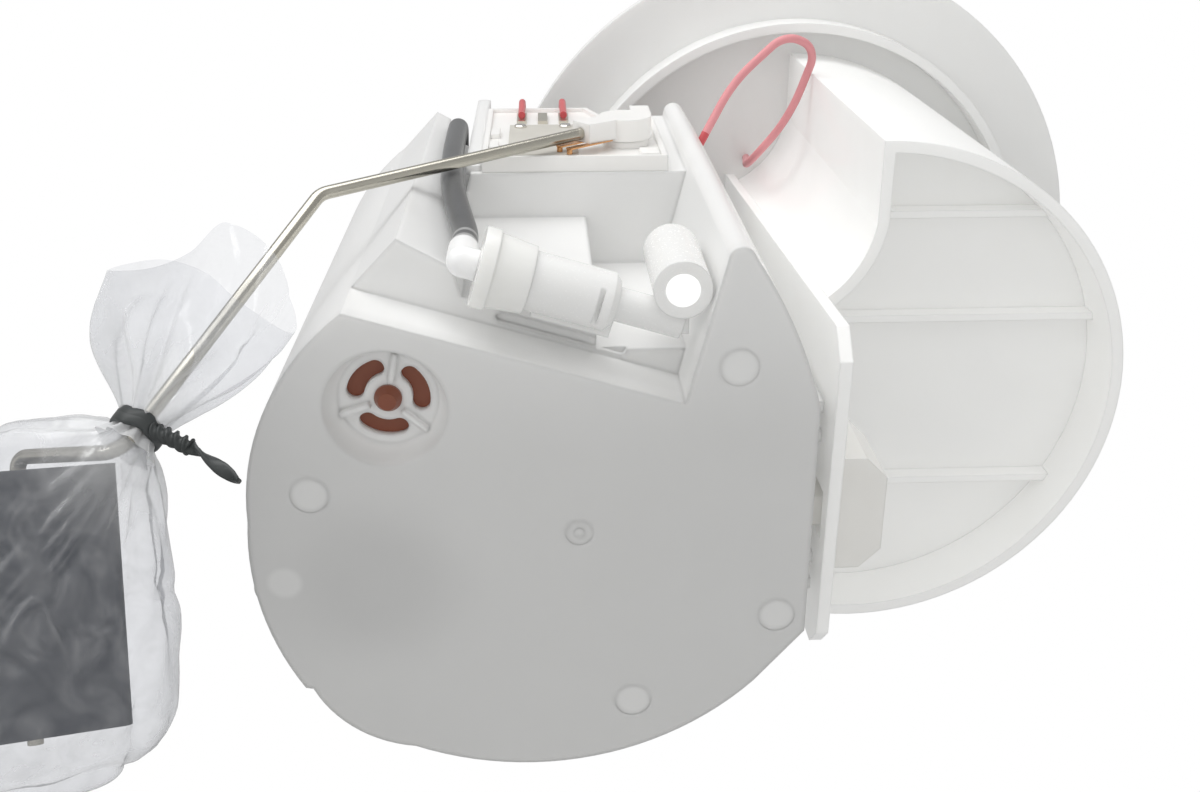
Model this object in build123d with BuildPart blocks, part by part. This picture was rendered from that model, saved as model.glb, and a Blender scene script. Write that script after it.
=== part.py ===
from build123d import *
import os
from math import atan2, cos, degrees, pi, radians, sin, sqrt, tan

os.makedirs("parts", exist_ok=True)

# In-tank fuel pump module, upright as it hangs in the tank. Millimetres.
# Origin: centre of the reservoir's base. +Z: up, along the slide, to the flange.
# -Y: the side that carries the level sender. +X: towards the axis of the flange.

# ---------------------------------------------------------------- driving sizes
# Fits, per side
running_gap = 0.05
slide_gap = 0.3

# Reservoir cup
cup_wall = 2.0
cup_floor = 2.4
shelf_z = 13.0
sender_shelf_z = 62.5
cup_height = 118.0
flat_side_x = 45.0
bowl_left_x = -54.4
lip_corner = (-35.3, -41.3)
bowl_front_mid = (-48.3, -26.4)
bowl_left_y = -3.0
bowl_side_mid = (-53.7, 16.0)
bowl_step = (-47.5, 32.3)
bowl_step_foot = (-46.1, 32.6)
bowl_corner_mid = (-38.3, 42.4)
bowl_back_left = (-28.0, 46.4)
bowl_back_mid = (5.5, 50.1)
bowl_back_right = (36.0, 33.4)
lobe_side_mid = (40.2, -36.4)
lobe_end_mid = (30.3, -51.6)
notch_corner = (21.6, -24.0)
lobe_root = (28.2, -50.2)
lobe_back = (32.6, -50.0)
flat_front_y = -22.6
flat_back_y = 22.5
column_front = (-27.1, -49.9)
column_right = (-17.7, -44.6)
pad_left_x = -16.3
pad_right_x = 7.0
pad_face_y = -39.2
recess_face_y = -29.0
sender_left_x = -16.7
sender_face_y = -48.5
boss_at = (-50.5, 10.6)
boss_radius = 4.2
boss_height = 16.0
ejector_marks = ((-43.3, -7.9), (13.3, 37.2), (39.6, 19.0), (30.7, -30.5))
ejector_radius = 3.4
mark_depth = 0.3
gate_at = (3.4, 0.7)
gate_radius = 2.5
gate_nib = 0.9
shelf_slot_from = (-9.6, -35.4)
shelf_slot_to = (11.4, -29.0)
shelf_slot_width = 2.0
shelf_slot_depth = 1.3
post_at = (-16.2, -49.6)
post_width = 3.2
post_thickness = 1.8
post_rise = 16.0
hose_notch_width = 5.4
hose_notch_depth = 17.0
wire_notch_at = (36.3, -43.7)
wire_notch_width = 2.8
wire_notch_depth = 11.0
wire_notch_turn = -58.5

# Inlet valve in the floor
valve_at = (-29.2, -23.9)
valve_mouth_radius = 10.6
valve_seat_radius = 8.7
valve_well_wall = 1.7
valve_seat_z = 5.4
valve_seat_thickness = 1.5
valve_slot_radius = 5.75
valve_slot_width = 3.1
valve_slot_angle = 58.0
valve_first_spoke = -78.0
valve_spokes = 3
valve_rib_length = 5.4
valve_rib_width = 1.0
valve_rib_height = 1.6
valve_stem_radius = 1.95
valve_bulb_radius = 2.4
valve_disc_radius = 8.1
valve_disc_thickness = 1.0
valve_bulb_length = 2.2
valve_bulb_shoulder = 0.6
valve_tip_bevel = 0.4

# Slide between flange and reservoir
slide_travel = 20.0
leg_outer_x = 51.3
leg_front_foot_y = -34.0
leg_front_top_y = -25.0
leg_back_y = 33.0
leg_foot_z = 5.0
leg_corner = 5.0
rail_width = 3.0
rail_depth = 2.6
rail_at_y = (-14.5, 17.0)
rail_bottom_z = 22.0
groove_wall = 2.2
groove_depth = 3.3
groove_end_margin = 12.0
seat_left_x = 51.8
seat_right_x = 60.6
seat_front_y = -8.0
seat_back_y = 15.0
seat_bevel = 4.0
seat_bottom_z = 9.5
seat_top_z = 28.0
neck_width = 6.0
neck_bottom_z = 12.0
neck_top_z = 26.0
leg_slot_margin = 2.0
spring_at = (56.4, 4.0)
spring_wire = 1.6
spring_radius = 4.0
spring_turns = 9
spring_top_z = 124.0
well_radius = 5.6
well_wall = 1.4

# Flange
flange_at = (66.0, -3.3)
flange_radius = 79.5
flange_z = 152.0
flange_thickness = 4.0
flange_step_radius = 60.0
flange_step_height = 4.0
spigot_radius = 63.5
spigot_depth = 9.0
spigot_wall = 2.4
outlet_at = (96.0, -20.0)
outlet_radius = 3.95
outlet_bore = 2.6
outlet_length = 28.0
outlet_bead_from_foot = 7.0
outlet_bead_radius = 4.9
outlet_bead_height = 2.2
outlet_root_radius = 4.4
outlet_collar_width = 3.0
outlet_collar_height = 3.0
outlet_tip_bevel = 0.8
socket_at = (74.0, 26.0)
socket_length = 26.0
socket_width = 14.0
socket_height = 16.0
socket_wall = 1.6
socket_floor = 2.0
pin_count = 4
pin_pitch = 5.0
pin_width = 1.5
pin_thickness = 0.8
pin_reach = 9.0
duct_width = 9.0
duct_height = 6.0
hose_nipple_at = (22.0, 4.0)
nipple_outer = 3.0
nipple_bore = 2.0
flange_nipple_length = 12.0

# Filter housing moulded under the flange
filter_radius = 54.4
filter_wall = 2.4
skirt_z = 48.0
filter_floor_z = 64.0
filter_floor_thickness = 2.4
pocket_x = 64.9
pocket_turn_y = -41.0
pocket_mid = (57.6, -27.0)
pocket_back_y = -22.0
floor_rib_ys = (-40.0, -17.0, 22.0)
floor_rib_depth = 4.0
floor_rib_width = 1.6
element_at = (91.0, -3.3)
element_wall_gap = 3.0
element_core = 12.0
element_pleats = 20
element_pleat_thickness = 1.0
cap_thickness = 2.0
element_top_z = 146.0
filter_tube_wall = 1.6

# Electric pump
pump_at = (-30.0, 12.0)
pump_radius = 19.0
case_wall = 1.2
case_bottom_z = 16.0
case_top_z = 84.0
cover_thickness = 6.0
pump_inlet_radius = 5.0
pump_inlet_bore = 3.4
impeller_radius = 14.5
impeller_thickness = 3.0
impeller_slots = 24
impeller_slot_length = 3.0
impeller_slot_width = 1.4
impeller_slot_inset = 0.6
impeller_side_gap = 0.4
mid_plate_port = 1.6
mid_plate_thickness = 4.0
shaft_radius = 2.0
shaft_top_z = 78.4
armature_radius = 11.4
armature_slots = 10
armature_slot_length = 3.4
armature_slot_width = 1.6
armature_slot_inset = 1.2
armature_from_z = 38.0
armature_to_z = 64.0
commutator_radius = 8.0
commutator_to_z = 69.0
magnet_inner = 12.4
magnet_gap = 11.0
magnet_from_z = 35.0
magnet_to_z = 67.0
brush_at = 5.6
brush_size = 3.6
outlet_cover_from_z = 74.5
pump_nipple_top_z = 96.0
pump_nipple_radius = 4.0
pump_terminal_at = 13.5
pump_terminal_pitch = 5.2
pump_terminal_length = 6.0
terminal_block_length = 9.0
terminal_block_width = 4.0
terminal_block_height = 4.0
shaft_end_gap = 0.4
outlet_bore_depth = 2.0
sleeve_thickness = 2.2
sleeve_from_z = 22.0
sleeve_to_z = 40.0
sleeve_bevel = 0.7
retainer_from_z = 66.0
retainer_to_z = 71.0
retainer_wall = 2.0
front_strut_y = (-14.0, -10.0)
back_strut_y = (6.0, 9.0)
strut_root = 4.0
strainer_left_x = -44.0
strainer_right_x = 24.0
strainer_front_y = -2.0
strainer_back_y = 30.0
strainer_height = 7.0
strainer_corner = 5.0
strainer_bevel = 1.6
strainer_collar_wall = 2.0
strainer_collar_height = 3.0

# Outlet tee and pressure regulator
tee_radius = 7.0
tee_bottom_z = 86.0
tee_top_z = 104.0
hose_stub_top_z = 114.0
regulator_at = (-24.0, -13.0)
holder_radius = 9.6
holder_bottom_z = 86.0
holder_top_z = 108.0
regulator_radius = 7.0
regulator_top_z = 100.0
regulator_bottom_z = 76.0
collar_radius = 7.9
collar_from_z = 86.2
collar_to_z = 90.2
seal_z = 95.0
seal_section = 0.75
clip_thickness = 1.2
clip_mouth = 6.0
regulator_waist = 1.0
regulator_crown = 1.5
clip_grip = 0.9
bridge_width = 9.0
bridge_bottom_z = 92.0
bridge_top_z = 101.0
return_z = 104.0
return_radius = 1.25
return_bore = 0.7
return_from_y = -21.0
return_to_y = -30.0

# Jet pump under the notch
jet_angle = 16.9
jet_at = (-2.0, -43.2)
jet_z = 7.8
jet_radius = 5.2
jet_bore = 3.2
jet_from = -2.6
jet_to = 12.6
throat_radius = 3.0
throat_bore = 1.8
throat_to = 24.6
cap_ring_radius = 7.0
cap_ring_width = 2.6
cap_small_radius = 5.9
cap_from = -11.6
cap_to = -2.6
elbow_radius = 2.7
elbow_top_z = 14.5
elbow_spigot = 4.0
port_at = (21.0, -43.7)
port_radius = 5.0
port_bore = 2.8
port_bottom_z = 2.0
port_top_z = 24.0
snap_from = 8.6
jet_bevel = 1.2
jet_end_wall = 2.0
throat_bite = 1.0
saddle_offset = (6.0, 1.8)
saddle_length = 14.0
saddle_width = 6.4
link_length = 9.0
link_width = 3.0
link_height = 5.0
cap_end_wall = 1.6
cap_bore_room = 0.8
cap_lip_step = 0.5
snap_depth = 2.4
snap_gap = 0.8
hose_radius = 2.3
hose_bore = 1.3
hose_rise_z = 23.0
hose_route = (
    (-19.6, -49.3, 48.0),
    (-21.0, -49.4, 76.0),
    (-21.2, -49.4, 105.5),
    (-21.6, -40.0, return_z),
    (regulator_at[0], -33.0, return_z),
    (regulator_at[0], -23.5, return_z),
)

# Level sender
pivot_x = 16.0
pivot_z = 77.0
plate_left_x = -14.4
plate_right_x = 24.0
plate_bottom_z = 62.9
plate_top_z = 112.0
plate_thickness = 2.5
edge_width = 1.2
edge_height = 0.8
plate_shoulder_z = 98.0
plate_slope = (12.0, 103.0)
plate_ear_x = 9.0
window_at = (17.0, 89.0)
window_side = 7.0
hook_height = 1.0
side_hooks = ((-12.0, 86.0), (-12.0, 74.0))
side_hook_size = (2.0, 6.0)
stop_at = (20.5, 66.6)
stop_size = (4.0, 5.6)
pivot_boss_radius = 5.0
pivot_boss_height = 1.4
journal_radius = 2.6
journal_depth = 2.8
hub_radius = 5.6
hub_from_y = -52.6
hub_to_y = -57.2
hub_plate_gap = 0.6
hub_lug_at = (3.6, 5.5)
hub_lug_size = (4.2, 9.0)
saddle_arm_length = 12.0
saddle_arm_width = 5.6
card_left_x = -9.0
card_right_x = 5.6
card_bottom_z = plate_bottom_z + edge_width + 0.1
card_top_z = 93.0
card_thickness = 0.9
rivet_at = ((-6.6, 66.4), (-6.6, 90.6), (3.4, 90.6))
rivet_radius = 1.4
rivet_height = 0.6
rivet_bevel = 0.25
terminal_xs = (-6.4, -1.6, 3.2)
terminal_z = (97.5, 106.5)
terminal_width = 2.2
terminal_thickness = 0.8
wiper_reach = 17.6
wiper_angle = 221.3
wiper_width = 1.5
wiper_thickness = 0.3
wiper_root_gap = 0.3
wiper_root_length = 3.0
contact_radius = 0.6
sender_wire_radius = 0.8
lead_start_z = 100.0
lead_rise = 3.0
lead_inner_y = (-38.0, -34.0)
lead_drop = 10.0

# Float arm, float, transit bag
arm_wire = 1.25
arm_hub = (16.0, -55.3, 77.0)
arm_bend_1 = (9.5, -55.1, 72.2)
arm_bend_2 = (-43.0, -51.7, 35.9)
arm_bend_3 = (-69.5, -23.3, -12.8)
arm_bend_4 = (-88.8, -19.4, -5.9)
arm_tip = (-85.8, 22.3, -26.8)
arm_bends = (6.0, 5.0, 4.5, 2.0)
float_centre = (-87.4, 0.7, -16.0)
float_faces = (0.364, -0.499, -0.786)
float_width = 29.0
float_thickness = 18.0
float_top = -20.2
float_bottom = 22.0
float_corner = 1.6
bag_width = 47.0
bag_thickness = 28.0
bag_from = -29.0
bag_to = 33.0
bag_corner = 9.0
bag_film = 0.7
gather_at = (14.5, 12.6, -19.0)
gather_radius = 6.6
neck_radius = 3.0
neck_from = 2.0
neck_to = 10.0
flare_to = 36.0
flare_radius = 9.0
tie_at = 8.2
tie_radius = 1.1
tie_knot = (-62.4, -26.0, -12.2)
knot_radius = 2.2
tail_radius = 0.9
tail_bend = 3.0
tie_tail = (-55.8, -22.8, -15.3)
tie_end = (-50.3, -19.9, -17.4)

# Wiring
wire_radius = 1.0
power_route = (
    (37.6, -45.8, 110.0),
    (44.5, -57.0, 115.0),
    (57.0, -68.0, 117.0),
    (65.5, -64.0, 120.0),
    (60.0, -46.8, 122.0),
    (50.6, -33.4, 127.0),
    (54.4, -29.6, flange_z),
)
ground_route = (
    (8.0, 22.0, 106.0),
    (8.0, 22.0, 116.0),
    (22.0, 28.0, 121.0),
    (38.0, 24.0, 128.0),
    (38.0, 24.0, flange_z),
)
pump_hose_radius = 4.4
pump_hose_route = (
    (-14.0, 24.0, 124.0),
    (10.0, 22.0, 126.0),
)


# ---------------------------------------------------------------- shared shapes
def bend_radii(points):
    """Radii for a cord: 0.45 of the shorter neighbouring run at every bend."""
    radii = []
    for before, here, after in zip(points, points[1:], points[2:]):
        run_in = Vector(*here) - Vector(*before)
        run_out = Vector(*after) - Vector(*here)
        half_turn = radians(run_in.get_angle(run_out)) / 2
        radii.append(round(0.45 * min(run_in.length, run_out.length) / tan(half_turn), 2))
    return radii


def lobe_face(y):
    """Point of the lobe's left face at a given depth."""
    share = (y - notch_corner[1]) / (lobe_root[1] - notch_corner[1])
    return (notch_corner[0] + share * (lobe_root[0] - notch_corner[0]), y)


def storey(*front):
    """One storey of the bowl: shared sides and back, its own front from lobe to lip corner."""
    bowl_left = (bowl_left_x, bowl_left_y)
    with BuildSketch() as outline:
        with BuildLine():
            ThreePointArc(lip_corner, bowl_front_mid, bowl_left)
            ThreePointArc(bowl_left, bowl_side_mid, bowl_step)
            Line(bowl_step, bowl_step_foot)
            ThreePointArc(bowl_step_foot, bowl_corner_mid, bowl_back_left)
            ThreePointArc(bowl_back_left, bowl_back_mid, bowl_back_right)
            Polyline(bowl_back_right, (flat_side_x, flat_back_y), (flat_side_x, flat_front_y))
            ThreePointArc((flat_side_x, flat_front_y), lobe_side_mid, lobe_back)
            ThreePointArc(lobe_back, lobe_end_mid, lobe_root)
            Polyline(lobe_root, *front, lip_corner)
        make_face()
    return outline.sketch


lower_storey = storey(notch_corner)
middle_storey = storey(
    lobe_face(recess_face_y),
    (pad_right_x, recess_face_y),
    (pad_right_x, pad_face_y),
    (pad_left_x, pad_face_y),
    column_right,
    column_front,
)
upper_storey = storey(
    lobe_face(sender_face_y),
    (sender_left_x, sender_face_y),
    column_right,
    column_front,
)
storeys = (
    (lower_storey, 0.0, cup_floor),
    (middle_storey, shelf_z, shelf_z + cup_wall),
    (upper_storey, sender_shelf_z, sender_shelf_z + cup_wall),
)
rail_face_x = leg_outer_x - filter_wall
valve_top_z = valve_seat_z + valve_seat_thickness
jet_turn = radians(jet_angle)
jet_axis = (cos(jet_turn), sin(jet_turn), 0)


def along_jet(distance):
    """Plane square to the jet pump's axis, a distance along it."""
    place = (jet_at[0] + distance * jet_axis[0], jet_at[1] + distance * jet_axis[1], jet_z)
    return Plane(origin=place, z_dir=jet_axis)


# ---------------------------------------------------------------- reservoir cup
with BuildPart() as reservoir_cup:
    for face, foot, _ in storeys:
        with BuildSketch(Plane.XY.offset(foot)):
            add(face)
        extrude(amount=cup_height - foot)
    for face, _, floor in storeys:
        with BuildSketch(Plane.XY.offset(floor)):
            offset(face, amount=-cup_wall)
        extrude(amount=cup_height - floor, mode=Mode.SUBTRACT)
    with Locations(boss_at):
        Cylinder(boss_radius, boss_height, align=(Align.CENTER, Align.CENTER, Align.MIN))
    # Well of the inlet valve, with its slotted seat and three ribs
    with BuildSketch(Plane.XY):
        with Locations(valve_at):
            Circle(valve_mouth_radius + valve_well_wall)
    with BuildSketch(Plane.XY.offset(valve_top_z)):
        with Locations(valve_at):
            Circle(valve_seat_radius + valve_well_wall)
    loft()
    with BuildSketch(Plane.XY):
        with Locations(valve_at):
            Circle(valve_mouth_radius)
    with BuildSketch(Plane.XY.offset(valve_seat_z)):
        with Locations(valve_at):
            Circle(valve_seat_radius)
    loft(mode=Mode.SUBTRACT)
    with BuildSketch(Plane.XY.offset(valve_seat_z)):
        with Locations(valve_at):
            Circle(valve_stem_radius + running_gap)
            for spoke in range(valve_spokes):
                start = valve_first_spoke + 360 / valve_spokes * spoke
                middle = start + 180 / valve_spokes
                slot_from = middle - valve_slot_angle / 2
                SlotArc(CenterArc((0, 0), valve_slot_radius, slot_from, valve_slot_angle), valve_slot_width)
    extrude(amount=valve_seat_thickness, mode=Mode.SUBTRACT)
    with BuildSketch(Plane.XY.offset(valve_seat_z)):
        with Locations(valve_at):
            for spoke in range(valve_spokes):
                start = valve_first_spoke + 360 / valve_spokes * spoke
                with Locations(Rot(0, 0, start) * Pos(valve_seat_radius - valve_rib_length / 2, 0)):
                    Rectangle(valve_rib_length, valve_rib_width)
    extrude(amount=-valve_rib_height)
    # Grooves that guide the leg's rails
    for rail_y in rail_at_y:
        for side in (-1, 1):
            rib_y = rail_y + side * (rail_width / 2 + slide_gap + groove_wall / 2)
            with Locations((flat_side_x, rib_y, groove_end_margin)):
                Box(
                    groove_depth,
                    groove_wall,
                    cup_height - 2 * groove_end_margin,
                    align=(Align.MIN, Align.CENTER, Align.MIN),
                )
    # Marks of the mould on the base and the blind slot in the shelf
    with BuildSketch(Plane.XY):
        with Locations(*ejector_marks):
            Circle(ejector_radius)
        with Locations(gate_at):
            Circle(gate_radius)
            Circle(gate_nib, mode=Mode.SUBTRACT)
    extrude(amount=mark_depth, mode=Mode.SUBTRACT)
    with BuildSketch(Plane.XY.offset(shelf_z)):
        with BuildLine():
            slot_line = Line(shelf_slot_from, shelf_slot_to)
        SlotCenterPoint(slot_line @ 0.5, slot_line @ 1, shelf_slot_width)
    extrude(amount=shelf_slot_depth, mode=Mode.SUBTRACT)
    # Notches in the rim for the jet hose and the pump's lead
    with Locations((hose_route[2][0], column_right[1], cup_height - hose_notch_depth)):
        Box(
            hose_notch_width,
            4 * cup_wall,
            hose_notch_depth,
            align=(Align.CENTER, Align.CENTER, Align.MIN),
            mode=Mode.SUBTRACT,
        )
    wire_notch_foot = Pos(*wire_notch_at, cup_height - wire_notch_depth)
    with Locations(wire_notch_foot * Rot(0, 0, wire_notch_turn)):
        Box(
            4 * cup_wall,
            wire_notch_width,
            wire_notch_depth,
            align=(Align.CENTER, Align.CENTER, Align.MIN),
            mode=Mode.SUBTRACT,
        )
    # Round-topped post beside the sender
    post_top_z = cup_height + post_rise
    with BuildSketch(Plane.XZ.offset(-post_at[1] - post_thickness)):
        with Locations((post_at[0], sender_shelf_z + cup_wall)):
            Rectangle(
                post_width,
                post_top_z - post_width / 2 - sender_shelf_z - cup_wall,
                align=(Align.CENTER, Align.MIN),
            )
        with Locations((post_at[0], post_top_z - post_width / 2)):
            Circle(post_width / 2)
    extrude(amount=post_thickness)
reservoir_cup.part.label = "reservoir_cup"
export_step(reservoir_cup.part, "parts/reservoir_cup.step")

# ---------------------------------------------------------------- inlet valve
# Rubber umbrella: a disc over the slots, its stem through the seat, a bulb that keeps it there
with BuildPart() as inlet_valve:
    with BuildSketch(Plane.XZ.offset(-valve_at[1])):
        with BuildLine():
            Polyline(
                (valve_at[0], valve_seat_z - valve_bulb_length),
                (valve_at[0] + valve_stem_radius - valve_tip_bevel, valve_seat_z - valve_bulb_length),
                (valve_at[0] + valve_bulb_radius, valve_seat_z - valve_bulb_shoulder),
                (valve_at[0] + valve_bulb_radius, valve_seat_z),
                (valve_at[0] + valve_stem_radius, valve_seat_z),
                (valve_at[0] + valve_stem_radius, valve_top_z),
                (valve_at[0] + valve_disc_radius, valve_top_z),
                (valve_at[0] + valve_disc_radius, valve_top_z + valve_disc_thickness / 2),
                (valve_at[0] + valve_stem_radius, valve_top_z + 2 * valve_disc_thickness),
                (valve_at[0], valve_top_z + 2 * valve_disc_thickness),
                close=True,
            )
        make_face()
    revolve(axis=Axis((valve_at[0], valve_at[1], 0), (0, 0, 1)))
inlet_valve.part.label = "inlet_valve"
export_step(inlet_valve.part, "parts/inlet_valve.step")

# ---------------------------------------------------------------- spring seat
neck_y = spring_at[1]
with BuildPart() as spring_seat:
    with BuildSketch(Plane.XY.offset(seat_bottom_z)):
        with BuildLine():
            Polyline(
                (seat_left_x, seat_front_y),
                (seat_right_x - seat_bevel, seat_front_y),
                (seat_right_x, seat_front_y + seat_bevel),
                (seat_right_x, seat_back_y - seat_bevel),
                (seat_right_x - seat_bevel, seat_back_y),
                (seat_left_x, seat_back_y),
                close=True,
            )
        make_face()
    extrude(amount=seat_top_z - seat_bottom_z)
    with Locations((flat_side_x, neck_y, neck_bottom_z)):
        Box(
            seat_left_x - flat_side_x,
            neck_width,
            neck_top_z - neck_bottom_z,
            align=(Align.MIN, Align.CENTER, Align.MIN),
        )
spring_seat.part.label = "spring_seat"
export_step(spring_seat.part, "parts/spring_seat.step")

# ---------------------------------------------------------------- suction strainer
pump_x, pump_y = pump_at
strainer_top_z = cup_floor + strainer_height
strainer_length = strainer_right_x - strainer_left_x
strainer_depth = strainer_back_y - strainer_front_y
with BuildPart() as suction_strainer:
    with BuildSketch(Plane.XY.offset(cup_floor)):
        with Locations(((strainer_left_x + strainer_right_x) / 2, (strainer_front_y + strainer_back_y) / 2)):
            RectangleRounded(strainer_length, strainer_depth, strainer_corner)
    extrude(amount=strainer_height)
    chamfer(suction_strainer.faces().sort_by(Axis.Z)[-1].edges(), strainer_bevel)
    with BuildSketch(Plane.XY.offset(strainer_top_z)):
        with Locations(pump_at):
            Circle(pump_inlet_radius + strainer_collar_wall)
    extrude(amount=strainer_collar_height)
    with BuildSketch(Plane.XY.offset(strainer_top_z)):
        with Locations(pump_at):
            Circle(pump_inlet_radius)
    extrude(amount=strainer_collar_height, mode=Mode.SUBTRACT)
suction_strainer.part.label = "suction_strainer"
export_step(suction_strainer.part, "parts/suction_strainer.step")

# ---------------------------------------------------------------- electric pump
case_bore = pump_radius - case_wall
inlet_top_z = case_bottom_z + cover_thickness
impeller_z = inlet_top_z + running_gap
mid_plate_z = impeller_z + impeller_thickness + running_gap
with BuildPart() as pump_case:
    with BuildSketch(Plane.XY.offset(case_bottom_z)):
        with Locations(pump_at):
            Circle(pump_radius)
            Circle(case_bore, mode=Mode.SUBTRACT)
    extrude(amount=case_top_z - case_bottom_z)
pump_case.part.label = "pump_case"
export_step(pump_case.part, "parts/pump_case.step")

with BuildPart() as pump_inlet_cover:
    with BuildSketch(Plane.XY.offset(case_bottom_z)):
        with Locations(pump_at):
            Circle(case_bore)
    extrude(amount=cover_thickness)
    with BuildSketch(Plane.XY.offset(strainer_top_z)):
        with Locations(pump_at):
            Circle(pump_inlet_radius)
    extrude(amount=case_bottom_z - strainer_top_z)
    with BuildSketch(Plane.XY.offset(strainer_top_z)):
        with Locations(pump_at):
            Circle(pump_inlet_bore)
    extrude(amount=inlet_top_z - strainer_top_z, mode=Mode.SUBTRACT)
pump_inlet_cover.part.label = "pump_inlet_cover"
export_step(pump_inlet_cover.part, "parts/pump_inlet_cover.step")

with BuildPart() as impeller:
    with BuildSketch(Plane.XY.offset(impeller_z)):
        with Locations(pump_at):
            Circle(impeller_radius)
            Circle(shaft_radius, mode=Mode.SUBTRACT)
            with PolarLocations(impeller_radius - impeller_slot_inset, impeller_slots):
                Rectangle(impeller_slot_length, impeller_slot_width, mode=Mode.SUBTRACT)
    extrude(amount=impeller_thickness)
impeller.part.label = "impeller"
export_step(impeller.part, "parts/impeller.step")

with BuildPart() as pump_mid_plate:
    with BuildSketch(Plane.XY.offset(mid_plate_z)):
        with Locations(pump_at):
            Circle(case_bore)
            Circle(shaft_radius + running_gap, mode=Mode.SUBTRACT)
        with Locations((pump_x, pump_y + impeller_radius - mid_plate_port)):
            Circle(mid_plate_port, mode=Mode.SUBTRACT)
    extrude(amount=mid_plate_thickness)
    with BuildSketch(Plane.XY.offset(inlet_top_z)):
        with Locations(pump_at):
            Circle(case_bore)
            Circle(impeller_radius + impeller_side_gap, mode=Mode.SUBTRACT)
    extrude(amount=mid_plate_z - inlet_top_z)
pump_mid_plate.part.label = "pump_mid_plate"
export_step(pump_mid_plate.part, "parts/pump_mid_plate.step")

with BuildPart() as rotor_shaft:
    with BuildSketch(Plane.XY.offset(impeller_z)):
        with Locations(pump_at):
            Circle(shaft_radius)
    extrude(amount=shaft_top_z - impeller_z)
rotor_shaft.part.label = "rotor_shaft"
export_step(rotor_shaft.part, "parts/rotor_shaft.step")

with BuildPart() as armature:
    with BuildSketch(Plane.XY.offset(armature_from_z)):
        with Locations(pump_at):
            Circle(armature_radius)
            Circle(shaft_radius, mode=Mode.SUBTRACT)
            with PolarLocations(armature_radius - armature_slot_inset, armature_slots):
                Rectangle(armature_slot_length, armature_slot_width, mode=Mode.SUBTRACT)
    extrude(amount=armature_to_z - armature_from_z)
    with BuildSketch(Plane.XY.offset(armature_to_z)):
        with Locations(pump_at):
            Circle(commutator_radius)
            Circle(shaft_radius, mode=Mode.SUBTRACT)
    extrude(amount=commutator_to_z - armature_to_z)
armature.part.label = "armature"
export_step(armature.part, "parts/armature.step")

with BuildPart() as field_magnets:
    with BuildSketch(Plane.XY.offset(magnet_from_z)):
        with Locations(pump_at):
            Circle(case_bore)
            Circle(magnet_inner, mode=Mode.SUBTRACT)
            Rectangle(magnet_gap, 2 * pump_radius, mode=Mode.SUBTRACT)
    extrude(amount=magnet_to_z - magnet_from_z)
field_magnets.part.label = "field_magnets"
export_step(field_magnets.part, "parts/field_magnets.step")

with BuildPart() as pump_outlet_cover:
    with BuildSketch(Plane.XY.offset(outlet_cover_from_z)):
        with Locations(pump_at):
            Circle(case_bore)
            Circle(shaft_radius + running_gap, mode=Mode.SUBTRACT)
            with Locations((-brush_at, 0), (brush_at, 0)):
                Rectangle(brush_size, brush_size, mode=Mode.SUBTRACT)
    extrude(amount=shaft_top_z - outlet_cover_from_z + shaft_end_gap)
    with BuildSketch(Plane.XY.offset(shaft_top_z + shaft_end_gap)):
        with Locations(pump_at):
            Circle(case_bore)
    extrude(amount=case_top_z - shaft_top_z - shaft_end_gap)
    with BuildSketch(Plane.XY.offset(case_top_z)):
        with Locations(pump_at):
            Circle(pump_nipple_radius)
        with Locations((pump_x, pump_y + pump_terminal_at)):
            Rectangle(terminal_block_length, terminal_block_width)
    extrude(amount=terminal_block_height)
    with BuildSketch(Plane.XY.offset(case_top_z)):
        with Locations(pump_at):
            Circle(pump_nipple_radius)
    extrude(amount=pump_nipple_top_z - case_top_z)
    with BuildSketch(Plane.XY.offset(case_top_z - outlet_bore_depth)):
        with Locations(pump_at):
            Circle(nipple_bore)
    extrude(amount=pump_nipple_top_z - case_top_z + outlet_bore_depth, mode=Mode.SUBTRACT)
pump_outlet_cover.part.label = "pump_outlet_cover"
export_step(pump_outlet_cover.part, "parts/pump_outlet_cover.step")

with BuildPart() as carbon_brushes:
    with BuildSketch(Plane.XY.offset(commutator_to_z + running_gap)):
        with Locations((pump_x - brush_at, pump_y), (pump_x + brush_at, pump_y)):
            Rectangle(brush_size, brush_size)
    extrude(amount=shaft_top_z + shaft_end_gap - commutator_to_z - running_gap)
carbon_brushes.part.label = "carbon_brushes"
export_step(carbon_brushes.part, "parts/carbon_brushes.step")

with BuildPart() as pump_sleeve:
    with BuildSketch(Plane.XY.offset(sleeve_from_z)):
        with Locations(pump_at):
            Circle(pump_radius + sleeve_thickness)
            Circle(pump_radius, mode=Mode.SUBTRACT)
    extrude(amount=sleeve_to_z - sleeve_from_z)
    chamfer(pump_sleeve.edges().filter_by(GeomType.CIRCLE).group_by(SortBy.RADIUS)[-1], sleeve_bevel)
pump_sleeve.part.label = "pump_sleeve"
export_step(pump_sleeve.part, "parts/pump_sleeve.step")

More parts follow.
